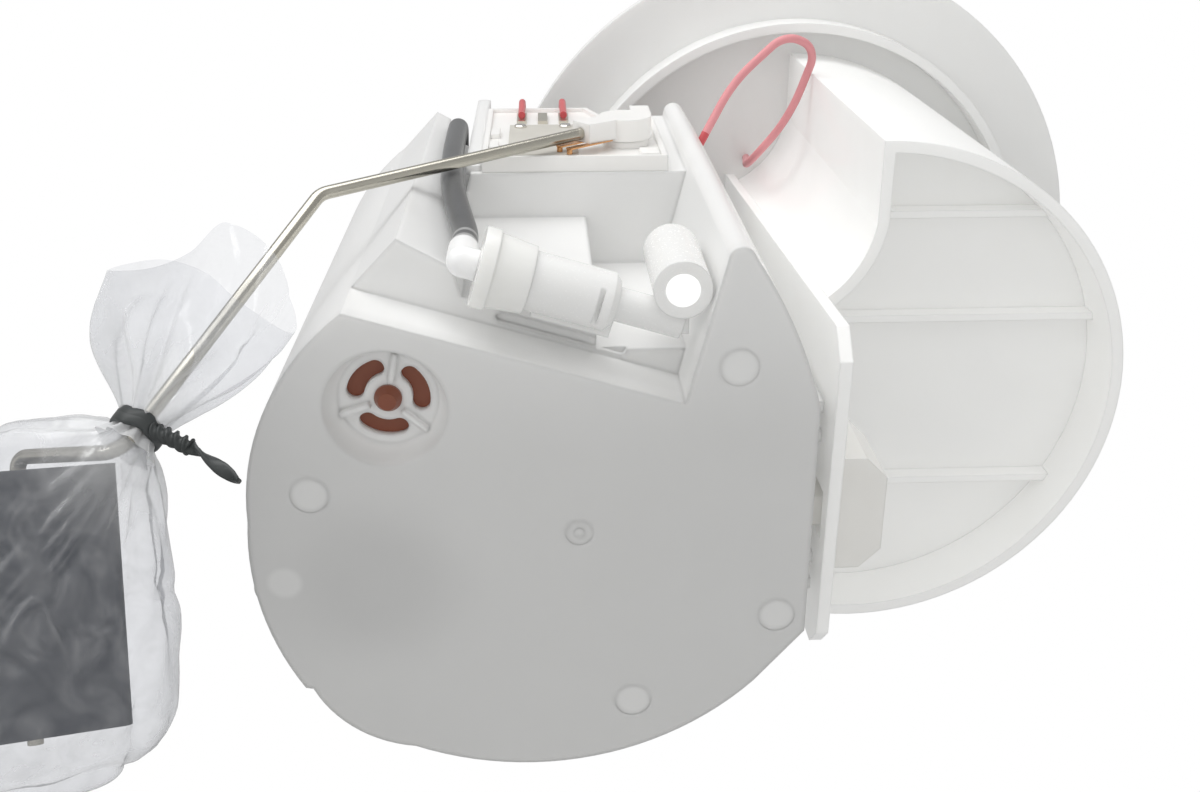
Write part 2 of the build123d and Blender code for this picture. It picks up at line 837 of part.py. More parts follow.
# Ring that holds the pump upright, tied to the flat side by two struts
retainer_outer = pump_radius + retainer_wall
strut_root_x = pump_x + retainer_outer - strut_root
strut_end_x = flat_side_x - cup_wall
with BuildPart() as pump_retainer:
    with BuildSketch(Plane.XY.offset(retainer_from_z)):
        with BuildLine():
            Polyline(
                (pump_x, pump_y + front_strut_y[0]),
                (strut_end_x, pump_y + front_strut_y[0]),
                (strut_end_x, pump_y + front_strut_y[1]),
                (strut_root_x, pump_y + front_strut_y[1]),
                (strut_root_x, pump_y + back_strut_y[0]),
                (strut_end_x, pump_y + back_strut_y[0]),
                (strut_end_x, pump_y + back_strut_y[1]),
                (pump_x, pump_y + back_strut_y[1]),
                close=True,
            )
        make_face()
        with Locations(pump_at):
            Circle(retainer_outer)
            Circle(pump_radius, mode=Mode.SUBTRACT)
    extrude(amount=retainer_to_z - retainer_from_z)
pump_retainer.part.label = "pump_retainer"
export_step(pump_retainer.part, "parts/pump_retainer.step")

with BuildPart() as pump_terminals:
    with BuildSketch(Plane.XY.offset(case_top_z + terminal_block_height)):
        with Locations((pump_x, pump_y + pump_terminal_at)):
            with GridLocations(pump_terminal_pitch, 1, 2, 1):
                Rectangle(pin_width, pin_thickness)
    extrude(amount=pump_terminal_length)
pump_terminals.part.label = "pump_terminals"
export_step(pump_terminals.part, "parts/pump_terminals.step")

# ---------------------------------------------------------------- outlet tee and regulator
reg_x, reg_y = regulator_at
bridge_length = sqrt((pump_x - reg_x) ** 2 + (pump_y - reg_y) ** 2)
bridge_turn = degrees(atan2(reg_y - pump_y, reg_x - pump_x))
with BuildPart() as regulator_holder:
    with Locations(Pos(pump_x, pump_y, bridge_bottom_z) * Rot(0, 0, bridge_turn)):
        Box(
            bridge_length,
            bridge_width,
            bridge_top_z - bridge_bottom_z,
            align=(Align.MIN, Align.CENTER, Align.MIN),
        )
    with BuildSketch(Plane.XY.offset(tee_bottom_z)):
        with Locations(pump_at):
            Circle(tee_radius)
    extrude(amount=tee_top_z - tee_bottom_z)
    with BuildSketch(Plane.XY.offset(tee_top_z)):
        with Locations(pump_at):
            Circle(nipple_outer)
    extrude(amount=hose_stub_top_z - tee_top_z)
    with BuildSketch(Plane.XY.offset(holder_bottom_z)):
        with Locations(regulator_at):
            Circle(holder_radius)
    extrude(amount=holder_top_z - holder_bottom_z)
    with BuildSketch(Plane.XZ.offset(-return_from_y)):
        with Locations((reg_x, return_z)):
            Circle(return_radius)
    extrude(amount=return_from_y - return_to_y)
    with BuildSketch(Plane.XZ.offset(-return_from_y)):
        with Locations((reg_x, return_z)):
            Circle(return_bore)
    extrude(amount=return_from_y - return_to_y, mode=Mode.SUBTRACT)
    with BuildSketch(Plane.XY.offset(tee_bottom_z)):
        with Locations(pump_at):
            Circle(pump_nipple_radius)
    extrude(amount=pump_nipple_top_z - tee_bottom_z, mode=Mode.SUBTRACT)
    with BuildSketch(Plane.XY.offset(pump_nipple_top_z)):
        with Locations(pump_at):
            Circle(nipple_bore)
    extrude(amount=hose_stub_top_z - pump_nipple_top_z, mode=Mode.SUBTRACT)
    with BuildSketch(Plane.XY.offset(holder_bottom_z)):
        with Locations(regulator_at):
            Circle(collar_radius)
    extrude(amount=regulator_top_z - holder_bottom_z, mode=Mode.SUBTRACT)
regulator_holder.part.label = "regulator_holder"
export_step(regulator_holder.part, "parts/regulator_holder.step")

with BuildPart() as pressure_regulator:
    with BuildSketch(Plane.XZ.offset(-reg_y)):
        with BuildLine():
            Polyline(
                (reg_x, regulator_bottom_z),
                (reg_x + regulator_radius - regulator_waist, regulator_bottom_z),
                (reg_x + regulator_radius - regulator_waist, collar_from_z),
                (reg_x + collar_radius, collar_from_z),
                (reg_x + collar_radius, collar_to_z),
                (reg_x + regulator_radius, collar_to_z),
                (reg_x + regulator_radius, seal_z - seal_section),
                (reg_x + collar_radius - 2 * seal_section, seal_z - seal_section),
                (reg_x + collar_radius - 2 * seal_section, seal_z + seal_section),
                (reg_x + regulator_radius, seal_z + seal_section),
                (reg_x + regulator_radius, regulator_top_z - regulator_crown),
                (reg_x, regulator_top_z - regulator_crown),
                close=True,
            )
        make_face()
    revolve(axis=Axis((reg_x, reg_y, 0), (0, 0, 1)))
pressure_regulator.part.label = "pressure_regulator"
export_step(pressure_regulator.part, "parts/pressure_regulator.step")

with BuildPart() as regulator_seal:
    with Locations((reg_x, reg_y, seal_z)):
        Torus(collar_radius - seal_section, seal_section)
regulator_seal.part.label = "regulator_seal"
export_step(regulator_seal.part, "parts/regulator_seal.step")

# Clip that closes the holder under the regulator's collar
with BuildPart() as regulator_clip:
    with BuildSketch(Plane.XY.offset(holder_bottom_z - clip_thickness)):
        with Locations(regulator_at):
            Circle(holder_radius)
            Circle(regulator_radius - clip_grip, mode=Mode.SUBTRACT)
            with Locations((0, -holder_radius)):
                Rectangle(clip_mouth, 2 * clip_mouth, mode=Mode.SUBTRACT)
    extrude(amount=clip_thickness)
regulator_clip.part.label = "regulator_clip"
export_step(regulator_clip.part, "parts/regulator_clip.step")

# ---------------------------------------------------------------- jet pump
# Mixing tube under the shelf, its throat, the upright port beside it and a saddle up to the shelf
with BuildPart() as jet_pump_body:
    with BuildSketch(along_jet(jet_from)):
        Circle(jet_radius)
    extrude(amount=jet_to - jet_from)
    chamfer(jet_pump_body.faces().sort_by(Axis.X)[-1].edges(), jet_bevel)
    with BuildSketch(along_jet(jet_to - throat_bite)):
        Circle(throat_radius)
    extrude(amount=throat_to - jet_to + throat_bite)
    with BuildSketch(Plane.XY.offset(port_bottom_z)):
        with Locations(port_at):
            Circle(port_radius)
    extrude(amount=port_top_z - port_bottom_z)
    saddle_foot = Pos(jet_at[0] + saddle_offset[0], jet_at[1] + saddle_offset[1], shelf_z)
    with Locations(saddle_foot * Rot(0, 0, jet_angle)):
        Box(saddle_length, saddle_width, shelf_z - jet_z, align=(Align.CENTER, Align.MIN, Align.MAX))
    with Locations(Pos(port_at[0], port_at[1], jet_z) * Rot(0, 0, 90)):
        Box(link_length, link_width, link_height, align=(Align.MIN, Align.CENTER, Align.CENTER))
    with BuildSketch(along_jet(jet_from)):
        Circle(jet_bore)
    extrude(amount=jet_to - jet_from - jet_end_wall, mode=Mode.SUBTRACT)
    with BuildSketch(along_jet(jet_to - jet_end_wall)):
        Circle(throat_bore)
    extrude(amount=throat_to - jet_to + jet_end_wall, mode=Mode.SUBTRACT)
    with BuildSketch(Plane.XY.offset(port_bottom_z)):
        with Locations(port_at):
            Circle(port_bore)
    extrude(amount=port_top_z - port_bottom_z, mode=Mode.SUBTRACT)
    with Locations(along_jet(snap_from + snap_gap).location * Pos(0, -jet_radius, 0)):
        Box(2 * jet_radius, snap_depth, snap_gap, mode=Mode.SUBTRACT)
jet_pump_body.part.label = "jet_pump_body"
export_step(jet_pump_body.part, "parts/jet_pump_body.step")

with BuildPart() as jet_cap:
    with BuildSketch(along_jet(cap_from)):
        Circle(cap_ring_radius)
    extrude(amount=cap_ring_width)
    with BuildSketch(along_jet(cap_from + cap_ring_width)):
        Circle(cap_ring_radius - cap_lip_step)
    with BuildSketch(along_jet(cap_to)):
        Circle(cap_small_radius)
    loft()
    with BuildSketch(along_jet(cap_from + cap_end_wall)):
        Circle(jet_bore + cap_bore_room)
    extrude(amount=cap_to - cap_from - cap_end_wall, mode=Mode.SUBTRACT)
jet_cap.part.label = "jet_cap"
export_step(jet_cap.part, "parts/jet_cap.step")

# White elbow that carries the hose into the cap's closed end
elbow_x, elbow_y = along_jet(cap_from - elbow_radius).origin.X, along_jet(cap_from - elbow_radius).origin.Y
with BuildPart() as jet_nozzle:
    with BuildSketch(along_jet(cap_from)):
        Circle(elbow_radius)
    extrude(amount=-elbow_radius)
    with Locations((elbow_x, elbow_y, jet_z)):
        Sphere(elbow_radius)
    with BuildSketch(Plane.XY.offset(jet_z)):
        with Locations((elbow_x, elbow_y)):
            Circle(elbow_radius)
    extrude(amount=elbow_top_z - jet_z)
    with BuildSketch(Plane.XY.offset(elbow_top_z)):
        with Locations((elbow_x, elbow_y)):
            Circle(hose_bore)
    extrude(amount=elbow_spigot)
jet_nozzle.part.label = "jet_nozzle"
export_step(jet_nozzle.part, "parts/jet_nozzle.step")

# Dark hose from the elbow up the column, over the rim's notch, to the regulator's return
hose_points = ((elbow_x, elbow_y, elbow_top_z), (elbow_x, elbow_y, hose_rise_z)) + hose_route
hose_bends = bend_radii(hose_points)
print("jet hose radii", hose_bends)
with BuildPart() as jet_hose:
    with BuildLine() as hose_line:
        FilletPolyline(*hose_points, radius=hose_bends)
    with BuildSketch(Plane(origin=hose_line.line @ 0, z_dir=hose_line.line % 0)):
        Circle(hose_radius)
        Circle(hose_bore, mode=Mode.SUBTRACT)
    sweep()
jet_hose.part.label = "jet_hose"
export_step(jet_hose.part, "parts/jet_hose.step")

# ---------------------------------------------------------------- level sender
sender_plane = Plane.XZ.offset(-sender_face_y)
plate_face = sender_plane.offset(plate_thickness)
plate_outline = (
    (plate_left_x, plate_bottom_z),
    (plate_right_x, plate_bottom_z),
    (plate_right_x, plate_shoulder_z),
    plate_slope,
    (plate_ear_x, plate_top_z),
    (plate_left_x, plate_top_z),
)
with BuildPart() as sender_housing:
    with BuildSketch(sender_plane):
        with BuildLine():
            Polyline(*plate_outline, close=True)
        make_face()
    extrude(amount=plate_thickness)
    with BuildSketch(plate_face) as plate_sketch:
        with BuildLine():
            Polyline(*plate_outline, close=True)
        make_face()
        offset(plate_sketch.sketch, amount=-edge_width, mode=Mode.SUBTRACT)
        with Locations((pivot_x, pivot_z)):
            Circle(pivot_boss_radius)
    extrude(amount=edge_height)
    with BuildSketch(plate_face):
        with Locations((pivot_x, pivot_z)):
            Circle(pivot_boss_radius)
    extrude(amount=pivot_boss_height)
    with BuildSketch(plate_face.offset(pivot_boss_height)):
        with Locations((pivot_x, pivot_z)):
            Circle(journal_radius + running_gap)
    extrude(amount=-(journal_depth + running_gap), mode=Mode.SUBTRACT)
    # Window beside the pivot and the two hooks that hold the wires
    with BuildSketch(plate_face):
        with Locations(window_at):
            Rectangle(window_side, window_side)
    extrude(amount=-plate_thickness, mode=Mode.SUBTRACT)
    with BuildSketch(plate_face):
        with Locations(*side_hooks):
            Rectangle(*side_hook_size)
        with Locations(stop_at):
            Rectangle(*stop_size)
    extrude(amount=hook_height)
sender_housing.part.label = "sender_housing"
export_step(sender_housing.part, "parts/sender_housing.step")

card_face = plate_face.offset(card_thickness)
with BuildPart() as resistor_card:
    with BuildSketch(plate_face):
        with Locations((card_left_x, card_bottom_z)):
            Rectangle(
                card_right_x - card_left_x,
                card_top_z - card_bottom_z,
                align=(Align.MIN, Align.MIN),
            )
    extrude(amount=card_thickness)
resistor_card.part.label = "resistor_card"
export_step(resistor_card.part, "parts/resistor_card.step")

with BuildPart() as card_rivets:
    with BuildSketch(card_face):
        with Locations(*rivet_at):
            Circle(rivet_radius)
    extrude(amount=rivet_height)
    chamfer(card_rivets.faces().filter_by(Axis.Y).group_by(Axis.Y)[0].edges(), rivet_bevel)
card_rivets.part.label = "card_rivets"
export_step(card_rivets.part, "parts/card_rivets.step")

with BuildPart() as sender_terminals:
    with BuildSketch(plate_face):
        for terminal_x in terminal_xs:
            with Locations((terminal_x, (terminal_z[0] + terminal_z[1]) / 2)):
                Rectangle(terminal_width, terminal_z[1] - terminal_z[0])
    extrude(amount=terminal_thickness)
sender_terminals.part.label = "sender_terminals"
export_step(sender_terminals.part, "parts/sender_terminals.step")

# Two leads from the terminals up over the rim and down into the cup
lead_y = plate_face.origin.Y - edge_height - sender_wire_radius
with BuildPart() as sender_wires:
    for terminal_x in (terminal_xs[0], terminal_xs[2]):
        lead_points = (
            (terminal_x, lead_y, lead_start_z),
            (terminal_x, lead_y, cup_height + lead_rise),
            (terminal_x, lead_inner_y[0], cup_height + lead_rise + 1.0),
            (terminal_x + lead_rise, lead_inner_y[1], cup_height - lead_drop),
        )
        with BuildLine() as lead_line:
            FilletPolyline(*lead_points, radius=bend_radii(lead_points))
        with BuildSketch(Plane(origin=lead_line.line @ 0, z_dir=lead_line.line % 0)):
            Circle(sender_wire_radius)
        sweep(path=lead_line.line)
sender_wires.part.label = "sender_wires"
export_step(sender_wires.part, "parts/sender_wires.step")

# ---------------------------------------------------------------- float arm
hub_plane = Plane.XZ.offset(-hub_from_y)
arm_lean = degrees(atan2(arm_bend_1[2] - arm_hub[2], arm_bend_1[0] - arm_hub[0]))
arm_points = (arm_hub, arm_bend_1, arm_bend_2, arm_bend_3, arm_bend_4, arm_tip)
with BuildPart() as float_arm:
    with BuildLine() as arm_line:
        FilletPolyline(*arm_points, radius=arm_bends)
    with BuildSketch(Plane(origin=arm_line.line @ 0, z_dir=arm_line.line % 0)):
        Circle(arm_wire)
    sweep()
float_arm.part.label = "float_arm"
export_step(float_arm.part, "parts/float_arm.step")

with BuildPart() as arm_holder:
    with BuildSketch(hub_plane):
        with Locations((pivot_x, pivot_z)):
            Circle(hub_radius)
            with Locations(hub_lug_at):
                Rectangle(*hub_lug_size)
    extrude(amount=hub_from_y - hub_to_y)
    with BuildSketch(hub_plane.offset(hub_plate_gap)):
        with Locations(Location((pivot_x, pivot_z), arm_lean)):
            Rectangle(saddle_arm_length, saddle_arm_width, align=(Align.MIN, Align.CENTER))
    extrude(amount=hub_from_y - hub_to_y - hub_plate_gap)
    with BuildSketch(hub_plane):
        with Locations((pivot_x, pivot_z)):
            Circle(journal_radius)
    extrude(amount=-journal_depth)
    add(float_arm.part, mode=Mode.SUBTRACT)
arm_holder.part.label = "arm_holder"
export_step(arm_holder.part, "parts/arm_holder.step")

# Wiper: a thin fork on the back of the holder with two contacts that run over the card
wiper_root_x = hub_radius + wiper_root_gap
with BuildPart() as wiper_contacts:
    with BuildSketch(hub_plane.offset(hub_plate_gap)):
        with Locations(Location((pivot_x, pivot_z), wiper_angle)):
            with Locations((wiper_root_x, -wiper_width), (wiper_root_x, wiper_width)):
                Rectangle(wiper_reach - hub_radius, wiper_width, align=(Align.MIN, Align.CENTER))
            with Locations((wiper_root_x, 0)):
                Rectangle(wiper_root_length, 3 * wiper_width, align=(Align.MIN, Align.CENTER))
    extrude(amount=-wiper_thickness)
    with BuildSketch(hub_plane.offset(hub_plate_gap - wiper_thickness)):
        with Locations(Location((pivot_x, pivot_z), wiper_angle)):
            with Locations((wiper_reach, -wiper_width), (wiper_reach, wiper_width)):
                Circle(contact_radius)
    extrude(amount=-(card_face.origin.Y - hub_from_y + hub_plate_gap - wiper_thickness - running_gap))
wiper_contacts.part.label = "wiper_contacts"
export_step(wiper_contacts.part, "parts/wiper_contacts.step")

# ---------------------------------------------------------------- float
pin_axis = (Vector(*arm_tip) - Vector(*arm_bend_4)).normalized()
faces = Vector(*float_faces)
faces = (faces - pin_axis * faces.dot(pin_axis)).normalized()
pin_foot = Vector(*arm_bend_4) + pin_axis * (Vector(*float_centre) - Vector(*arm_bend_4)).dot(pin_axis)
float_plane = Plane(origin=pin_foot, x_dir=faces.cross(pin_axis), z_dir=pin_axis)
with BuildPart() as float_block:
    with BuildSketch(float_plane.offset(float_top)):
        RectangleRounded(float_width, float_thickness, float_corner)
        Circle(arm_wire + running_gap, mode=Mode.SUBTRACT)
    extrude(amount=float_bottom - float_top)
float_block.part.label = "float_block"
export_step(float_block.part, "parts/float_block.step")

# ---------------------------------------------------------------- transit bag and its tie
gather = float_plane.from_local_coords(Vector(*gather_at))
wire_run = (Vector(*arm_bend_2) - Vector(*arm_bend_3)).normalized()
neck_start = Vector(*arm_bend_3)
with BuildPart() as transit_bag:
    for film in (0, bag_film):
        way = Mode.ADD if film == 0 else Mode.SUBTRACT
        with BuildSketch(float_plane.offset(bag_from + film)):
            RectangleRounded(bag_width - 2 * film, bag_thickness - 2 * film, bag_corner - film)
        extrude(amount=bag_to - bag_from - 2 * film, mode=way)
        with Locations(Pos(*gather)):
            Sphere(gather_radius - film, mode=way)
        with BuildSketch(Plane(origin=neck_start + wire_run * neck_from, z_dir=wire_run)):
            Circle(neck_radius - film)
        extrude(amount=neck_to - neck_from, mode=way)
        with BuildSketch(Plane(origin=neck_start + wire_run * neck_to, z_dir=wire_run)):
            Circle(neck_radius - film)
        with BuildSketch(Plane(origin=neck_start + wire_run * flare_to, z_dir=wire_run)):
            Circle(flare_radius - film)
        loft(mode=way)
transit_bag.part.label = "transit_bag"
export_step(transit_bag.part, "parts/transit_bag.step")

tie_centre = neck_start + wire_run * tie_at
with BuildPart() as bag_tie:
    with Locations(Plane(origin=tie_centre, z_dir=wire_run).location):
        Torus(neck_radius + tie_radius, tie_radius)
    with BuildLine() as tie_line:
        FilletPolyline(tie_knot, tie_tail, tie_end, radius=tail_bend)
    with BuildSketch(Plane(origin=tie_line.line @ 0, z_dir=tie_line.line % 0)):
        Circle(tail_radius)
    sweep()
    with Locations(Pos(*tie_knot)):
        Sphere(knot_radius)
bag_tie.part.label = "bag_tie"
export_step(bag_tie.part, "parts/bag_tie.step")

# ---------------------------------------------------------------- flange
flange_x, flange_y = flange_at
element_radius = filter_radius - filter_wall - element_wall_gap - (element_at[0] - flange_x)
flange_top_z = flange_z + flange_thickness
with BuildPart() as flange:
    with BuildSketch(Plane.XY.offset(flange_z)):
        with Locations(flange_at):
            Circle(flange_radius)
    extrude(amount=flange_thickness)
    with BuildSketch(Plane.XY.offset(flange_top_z)):
        with Locations(flange_at):
            Circle(flange_step_radius)
    extrude(amount=flange_step_height)
    chamfer(flange.edges().filter_by(GeomType.CIRCLE).group_by(Axis.Z)[-1], 2.0)
    with BuildSketch(Plane.XY.offset(flange_z)):
        with Locations(flange_at):
            Circle(spigot_radius)
            Circle(spigot_radius - spigot_wall, mode=Mode.SUBTRACT)
    extrude(amount=-spigot_depth)
    with BuildSketch(Plane.XY.offset(flange_z)):
        with Locations(hose_nipple_at):
            Circle(nipple_outer)
    extrude(amount=-flange_nipple_length)
    # Raised duct from the hose nipple to the filter, and the connector's socket
    duct_from = Vector(*hose_nipple_at)
    duct_to = Vector(*element_at)
    duct_run = duct_to - duct_from
    duct_turn = Rot(0, 0, degrees(atan2(duct_run.Y, duct_run.X)))
    with Locations(Pos(duct_from.X, duct_from.Y, flange_top_z) * duct_turn):
        Box(
            duct_run.length,
            duct_width,
            duct_height + flange_step_height,
            align=(Align.MIN, Align.CENTER, Align.MIN),
        )
    with BuildSketch(Plane.XY.offset(flange_top_z)):
        with Locations(hose_nipple_at, element_at):
            Circle(duct_width / 2)
    extrude(amount=duct_height + flange_step_height)
    with BuildSketch(Plane.XY.offset(flange_top_z)):
        with Locations(socket_at):
            RectangleRounded(socket_length, socket_width, 2.0)
    extrude(amount=flange_step_height + socket_height)
    with BuildSketch(Plane.XY.offset(flange_top_z + flange_step_height + socket_floor)):
        with Locations(socket_at):
            RectangleRounded(socket_length - 2 * socket_wall, socket_width - 2 * socket_wall, 0.8)
    extrude(amount=socket_height - socket_floor, mode=Mode.SUBTRACT)
    # Flow passages
    with BuildSketch(Plane.XY.offset(flange_z - flange_nipple_length)):
        with Locations(hose_nipple_at):
            Circle(nipple_bore)
    extrude(amount=flange_nipple_length + flange_thickness + duct_height, mode=Mode.SUBTRACT)
    with BuildSketch(Plane.XY.offset(flange_z)):
        with Locations(element_at):
            Circle(nipple_bore)
        with Locations(outlet_at):
            Circle(outlet_bore)
    extrude(amount=flange_thickness + duct_height, mode=Mode.SUBTRACT)
    with Locations(
        Pos(duct_from.X, duct_from.Y, flange_top_z + duct_height - nipple_bore) * duct_turn * Rot(0, 90, 0)
    ):
        Cylinder(
            nipple_bore,
            duct_run.length,
            align=(Align.CENTER, Align.CENTER, Align.MIN),
            mode=Mode.SUBTRACT,
        )
flange.part.label = "flange"
export_step(flange.part, "parts/flange.step")

# Quick-connect stub for the fuel line, its bead near the tip
stub_foot_z = flange_top_z + flange_step_height
bead_z = stub_foot_z + outlet_bead_from_foot
with BuildPart() as outlet_stub:
    with BuildSketch(Plane.XZ.offset(-outlet_at[1])):
        with BuildLine():
            Polyline(
                (outlet_at[0] + outlet_bore, stub_foot_z),
                (outlet_at[0] + outlet_root_radius + outlet_collar_width, stub_foot_z),
                (outlet_at[0] + outlet_root_radius + outlet_collar_width, stub_foot_z + outlet_collar_height),
                (outlet_at[0] + outlet_root_radius, stub_foot_z + outlet_collar_height + 1.0),
                (outlet_at[0] + outlet_root_radius, bead_z - outlet_bead_height / 2),
                (outlet_at[0] + outlet_bead_radius, bead_z),
                (outlet_at[0] + outlet_radius, bead_z + outlet_bead_height / 2),
                (outlet_at[0] + outlet_radius, stub_foot_z + outlet_length - 1.0),
                (outlet_at[0] + outlet_radius - outlet_tip_bevel, stub_foot_z + outlet_length),
                (outlet_at[0] + outlet_bore, stub_foot_z + outlet_length),
                close=True,
            )
        make_face()
    revolve(axis=Axis((outlet_at[0], outlet_at[1], 0), (0, 0, 1)))
outlet_stub.part.label = "outlet_stub"
export_step(outlet_stub.part, "parts/outlet_stub.step")

with BuildPart() as connector_pins:
    with BuildSketch(Plane.XY.offset(stub_foot_z + socket_floor)):
        with Locations(socket_at):
            with GridLocations(pin_pitch, 1, pin_count, 1):
                Rectangle(pin_width, pin_thickness)
    extrude(amount=pin_reach)
connector_pins.part.label = "connector_pins"
export_step(connector_pins.part, "parts/connector_pins.step")

# ---------------------------------------------------------------- filter housing
pocket_front_y = flange_y - sqrt(filter_radius**2 - (pocket_x - flange_x) ** 2)
leg_face_y = flange_y + sqrt(filter_radius**2 - (rail_face_x - flange_x) ** 2)
with BuildSketch() as housing_outline:
    with BuildLine():
        ThreePointArc(
            (pocket_x, pocket_front_y),
            (flange_x + filter_radius, flange_y),
            (rail_face_x, leg_face_y),
        )
        Line((rail_face_x, leg_face_y), (rail_face_x, pocket_back_y))
        ThreePointArc((rail_face_x, pocket_back_y), pocket_mid, (pocket_x, pocket_turn_y))
        Line((pocket_x, pocket_turn_y), (pocket_x, pocket_front_y))
    make_face()
housing_face = housing_outline.sketch
housing_bore = offset(housing_face, amount=-filter_wall)
with BuildPart() as filter_housing:
    with BuildSketch(Plane.XY.offset(skirt_z)):
        add(housing_face)
        add(housing_bore, mode=Mode.SUBTRACT)
    extrude(amount=flange_z - skirt_z)
    # Leg that runs down the reservoir's flat side, with its two rails and the seat's slot
    with BuildSketch(Plane.YZ.offset(rail_face_x)):
        with BuildLine():
            Polyline(
                (leg_front_top_y, flange_z),
                (leg_front_foot_y, leg_foot_z + leg_corner),
                (leg_front_foot_y + leg_corner, leg_foot_z),
                (leg_back_y - leg_corner, leg_foot_z + 2.0),
                (leg_back_y, leg_foot_z + leg_corner + 2.0),
                (leg_back_y, skirt_z - 6.0),
                (leg_face_y - 1.0, skirt_z),
                (leg_face_y - 1.0, flange_z),
                close=True,
            )
        make_face()
    extrude(amount=filter_wall)
    with Locations((rail_face_x, neck_y, neck_bottom_z - leg_slot_margin)):
        Box(
            filter_wall,
            neck_width + 2 * leg_slot_margin,
            neck_top_z - neck_bottom_z + slide_travel + 2 * leg_slot_margin,
            align=(Align.MIN, Align.CENTER, Align.MIN),
            mode=Mode.SUBTRACT,
        )
    for rail_y in rail_at_y:
        with Locations((rail_face_x, rail_y, rail_bottom_z)):
            Box(
                rail_depth,
                rail_width,
                flange_z - rail_bottom_z,
                align=(Align.MAX, Align.CENTER, Align.MIN),
            )
    # Blind well for the slide spring, open towards the seat
    with BuildSketch(Plane.XY.offset(filter_floor_z)):
        with Locations(spring_at):
            Circle(well_radius + well_wall)
            Circle(well_radius, mode=Mode.SUBTRACT)
    extrude(amount=spring_top_z - filter_floor_z)
    with BuildSketch(Plane.XY.offset(spring_top_z)):
        with Locations(spring_at):
            Circle(well_radius + well_wall)
    extrude(amount=well_wall)
filter_housing.part.label = "filter_housing"
export_step(filter_housing.part, "parts/filter_housing.step")

# Floor of the filter chamber with its ribs, a hole left for the spring's well
with BuildPart() as filter_floor:
    with BuildSketch(Plane.XY.offset(filter_floor_z - filter_floor_thickness)):
        add(housing_bore)
        with Locations(spring_at):
            Circle(well_radius, mode=Mode.SUBTRACT)
    extrude(amount=filter_floor_thickness)
    with BuildSketch(Plane.XY.offset(filter_floor_z - filter_floor_thickness)):
        with Locations(*[(flange_x + filter_radius / 2, rib_y) for rib_y in floor_rib_ys]):
            Rectangle(4 * filter_radius, floor_rib_width)
        add(housing_bore, mode=Mode.INTERSECT)
        with Locations(spring_at):
            Circle(well_radius, mode=Mode.SUBTRACT)
    extrude(amount=-floor_rib_depth)
filter_floor.part.label = "filter_floor"
export_step(filter_floor.part, "parts/filter_floor.step")

# ---------------------------------------------------------------- filter element
pleat_from_z = filter_floor_z + cap_thickness
pleat_to_z = element_top_z - cap_thickness
with BuildPart() as filter_element:
    with BuildSketch(Plane.XY.offset(pleat_from_z)):
        with Locations(element_at):
            Circle(element_core + element_pleat_thickness)
            with PolarLocations(element_core, element_pleats):
                Rectangle(
                    element_radius - element_core,
                    element_pleat_thickness,
                    align=(Align.MIN, Align.CENTER),
                )
            Circle(element_core, mode=Mode.SUBTRACT)
    extrude(amount=pleat_to_z - pleat_from_z)
filter_element.part.label = "filter_element"
export_step(filter_element.part, "parts/filter_element.step")

with BuildPart() as filter_caps:
    with BuildSketch(Plane.XY.offset(filter_floor_z)):
        with Locations(element_at):
            Circle(element_radius)
    extrude(amount=cap_thickness)
    with BuildSketch(Plane.XY.offset(pleat_to_z)):
        with Locations(element_at):
            Circle(element_radius)
            Circle(nipple_bore, mode=Mode.SUBTRACT)
    extrude(amount=cap_thickness)
    with BuildSketch(Plane.XY.offset(element_top_z)):
        with Locations(element_at):
            Circle(nipple_bore + filter_tube_wall)
            Circle(nipple_bore, mode=Mode.SUBTRACT)
    extrude(amount=flange_z - element_top_z)
filter_caps.part.label = "filter_caps"
export_step(filter_caps.part, "parts/filter_caps.step")

# ---------------------------------------------------------------- slide spring
coil_height = spring_top_z - seat_top_z - spring_wire
with BuildPart() as slide_spring:
    with BuildLine():
        coil = Helix(
            pitch=coil_height / spring_turns,
            height=coil_height,
            radius=spring_radius,
            center=(spring_at[0], spring_at[1], seat_top_z + spring_wire / 2),
        )
    with BuildSketch(Plane(origin=coil @ 0, z_dir=coil % 0)):
        Circle(spring_wire / 2)
    sweep(path=coil, is_frenet=True)
slide_spring.part.label = "slide_spring"
export_step(slide_spring.part, "parts/slide_spring.step")

# ---------------------------------------------------------------- hose and wires to the flange
hose_run = (
    (pump_x, pump_y, tee_top_z),
    (pump_x, pump_y, hose_stub_top_z + 8.0),
    *pump_hose_route,
    (hose_nipple_at[0], hose_nipple_at[1], flange_z - flange_nipple_length - 8.0),
    (hose_nipple_at[0], hose_nipple_at[1], flange_z),
)
run_bends = bend_radii(hose_run)
print("pump hose radii", run_bends)
with BuildPart() as pump_hose:
    with BuildLine() as run_line:
        FilletPolyline(*hose_run, radius=run_bends)
    with BuildSketch(Plane(origin=run_line.line @ 0, z_dir=run_line.line % 0)):
        Circle(pump_hose_radius)
        Circle(nipple_outer, mode=Mode.SUBTRACT)
    sweep()
pump_hose.part.label = "pump_hose"
export_step(pump_hose.part, "parts/pump_hose.step")

power_bends = bend_radii(power_route)
print("power wire radii", power_bends)
with BuildPart() as power_wire:
    with BuildLine() as power_line:
        FilletPolyline(*power_route, radius=power_bends)
    with BuildSketch(Plane(origin=power_line.line @ 0, z_dir=power_line.line % 0)):
        Circle(wire_radius)
    sweep()
power_wire.part.label = "power_wire"
export_step(power_wire.part, "parts/power_wire.step")

